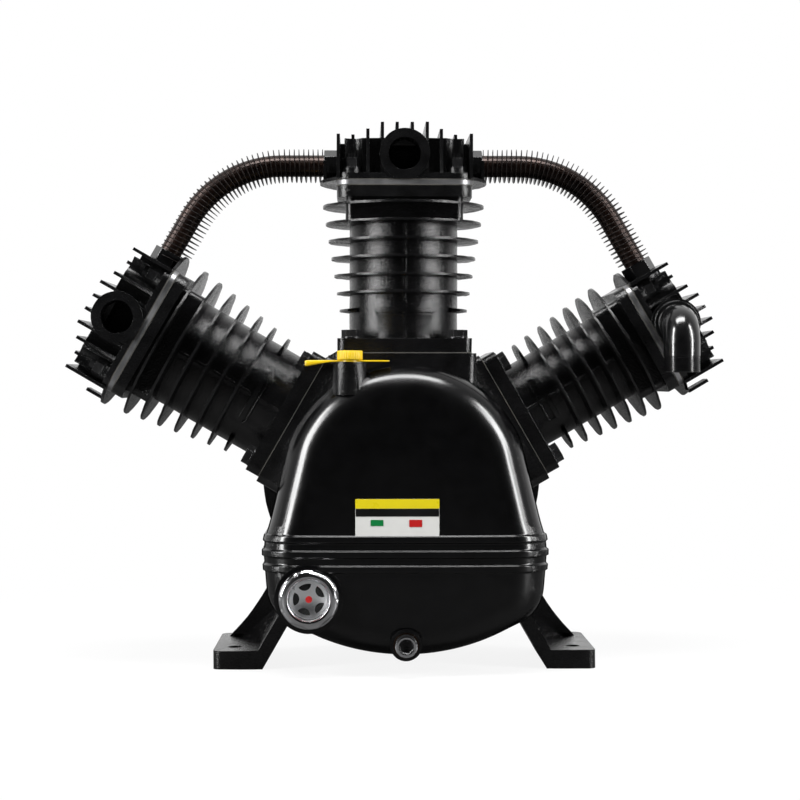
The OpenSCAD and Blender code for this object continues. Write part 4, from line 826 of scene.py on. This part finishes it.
def rangeNode(nodes, links, source, span, levels, curve="LINEAR"):
    node = nodes.new("ShaderNodeMapRange")
    node.interpolation_type = curve
    node.inputs["From Min"].default_value, node.inputs["From Max"].default_value = span
    node.inputs["To Min"].default_value, node.inputs["To Max"].default_value = levels
    links.new(source, node.inputs["Value"])
    return node.outputs["Result"]


def floorPaint(v):
    # the camera sees a lit floor near the object and plain white further out, reflections see a dark floor
    material, nodes, links, shader = newMaterial("paleFloor")
    rays = nodes.new("ShaderNodeLightPath")
    straight, through = rays.outputs["Is Camera Ray"], rays.outputs["Is Transmission Ray"]
    seen = mathNode(nodes, links, "MAXIMUM", straight, through)
    tone = rangeNode(nodes, links, seen, (0, 1), (v["floorLight"], v["floorSeen"]))
    links.new(tone, shader.inputs["Base Color"])
    shader.inputs["Roughness"].default_value = v["floorRough"]
    place = nodes.new("ShaderNodeTexCoord")
    reach = nodes.new("ShaderNodeVectorMath")
    reach.operation = "LENGTH"
    links.new(place.outputs["Object"], reach.inputs[0])
    levels = (1 - v["shadowShare"], 1)
    fade = rangeNode(nodes, links, reach.outputs["Value"], v["shadowReach"], levels, "SMOOTHSTEP")
    plain = nodes.new("ShaderNodeEmission")
    mix = nodes.new("ShaderNodeMixShader")
    links.new(mathNode(nodes, links, "MULTIPLY", fade, seen), mix.inputs["Fac"])
    links.new(shader.outputs["BSDF"], mix.inputs[1])
    links.new(plain.outputs["Emission"], mix.inputs[2])
    links.new(mix.outputs["Shader"], nodes["Material Output"].inputs["Surface"])
    return material


def makeFloor(v):
    half = v["floorSize"] / 2
    corners = [(-half, -half, 0), (half, -half, 0), (half, half, 0), (-half, half, 0)]
    mesh = bpy.data.meshes.new("studioFloor")
    mesh.from_pydata(corners, [], [(0, 1, 2, 3)])
    mesh.materials.append(floorPaint(v))
    floor = bpy.data.objects.new("studioFloor", mesh)
    bpy.context.scene.collection.objects.link(floor)


def makeLamp(name, v):
    # a soft box that the camera itself doesn't see
    data = bpy.data.lights.new(name, "AREA")
    data.shape = "RECTANGLE"
    data.size, data.size_y = v["size"]
    data.energy = v["power"]
    light = bpy.data.objects.new(name, data)
    light.location = v["place"]
    aim = Vector(v["aim"]) - light.location
    light.rotation_euler = aim.to_track_quat("-Z", "Y").to_euler()
    light.visible_camera = False
    bpy.context.scene.collection.objects.link(light)


def makeWorld(v):
    # plain white to the camera, and a light that grows from the camera's side to the far side
    world = bpy.data.worlds.new("paleStudio")
    bpy.context.scene.world = world
    world.use_nodes = True
    nodes, links = world.node_tree.nodes, world.node_tree.links
    side = nodes.new("ShaderNodeTexCoord")
    split = nodes.new("ShaderNodeSeparateXYZ")
    links.new(side.outputs["Generated"], split.inputs["Vector"])
    level = rangeNode(nodes, links, split.outputs["Y"], v["worldSpan"], v["worldLevels"])
    rays = nodes.new("ShaderNodeLightPath")
    strength = mathNode(nodes, links, "MAXIMUM", level, rays.outputs["Is Camera Ray"])
    back = nodes["Background"]
    back.inputs["Color"].default_value = (1, 1, 1, 1)
    links.new(strength, back.inputs["Strength"])


makeFloor(studioSet)
for name, lamp in studioSet["lamps"].items():
    makeLamp(name, lamp)
makeWorld(studioSet)
bpy.context.scene.view_settings.view_transform = "Standard"
print("stage: studio set")
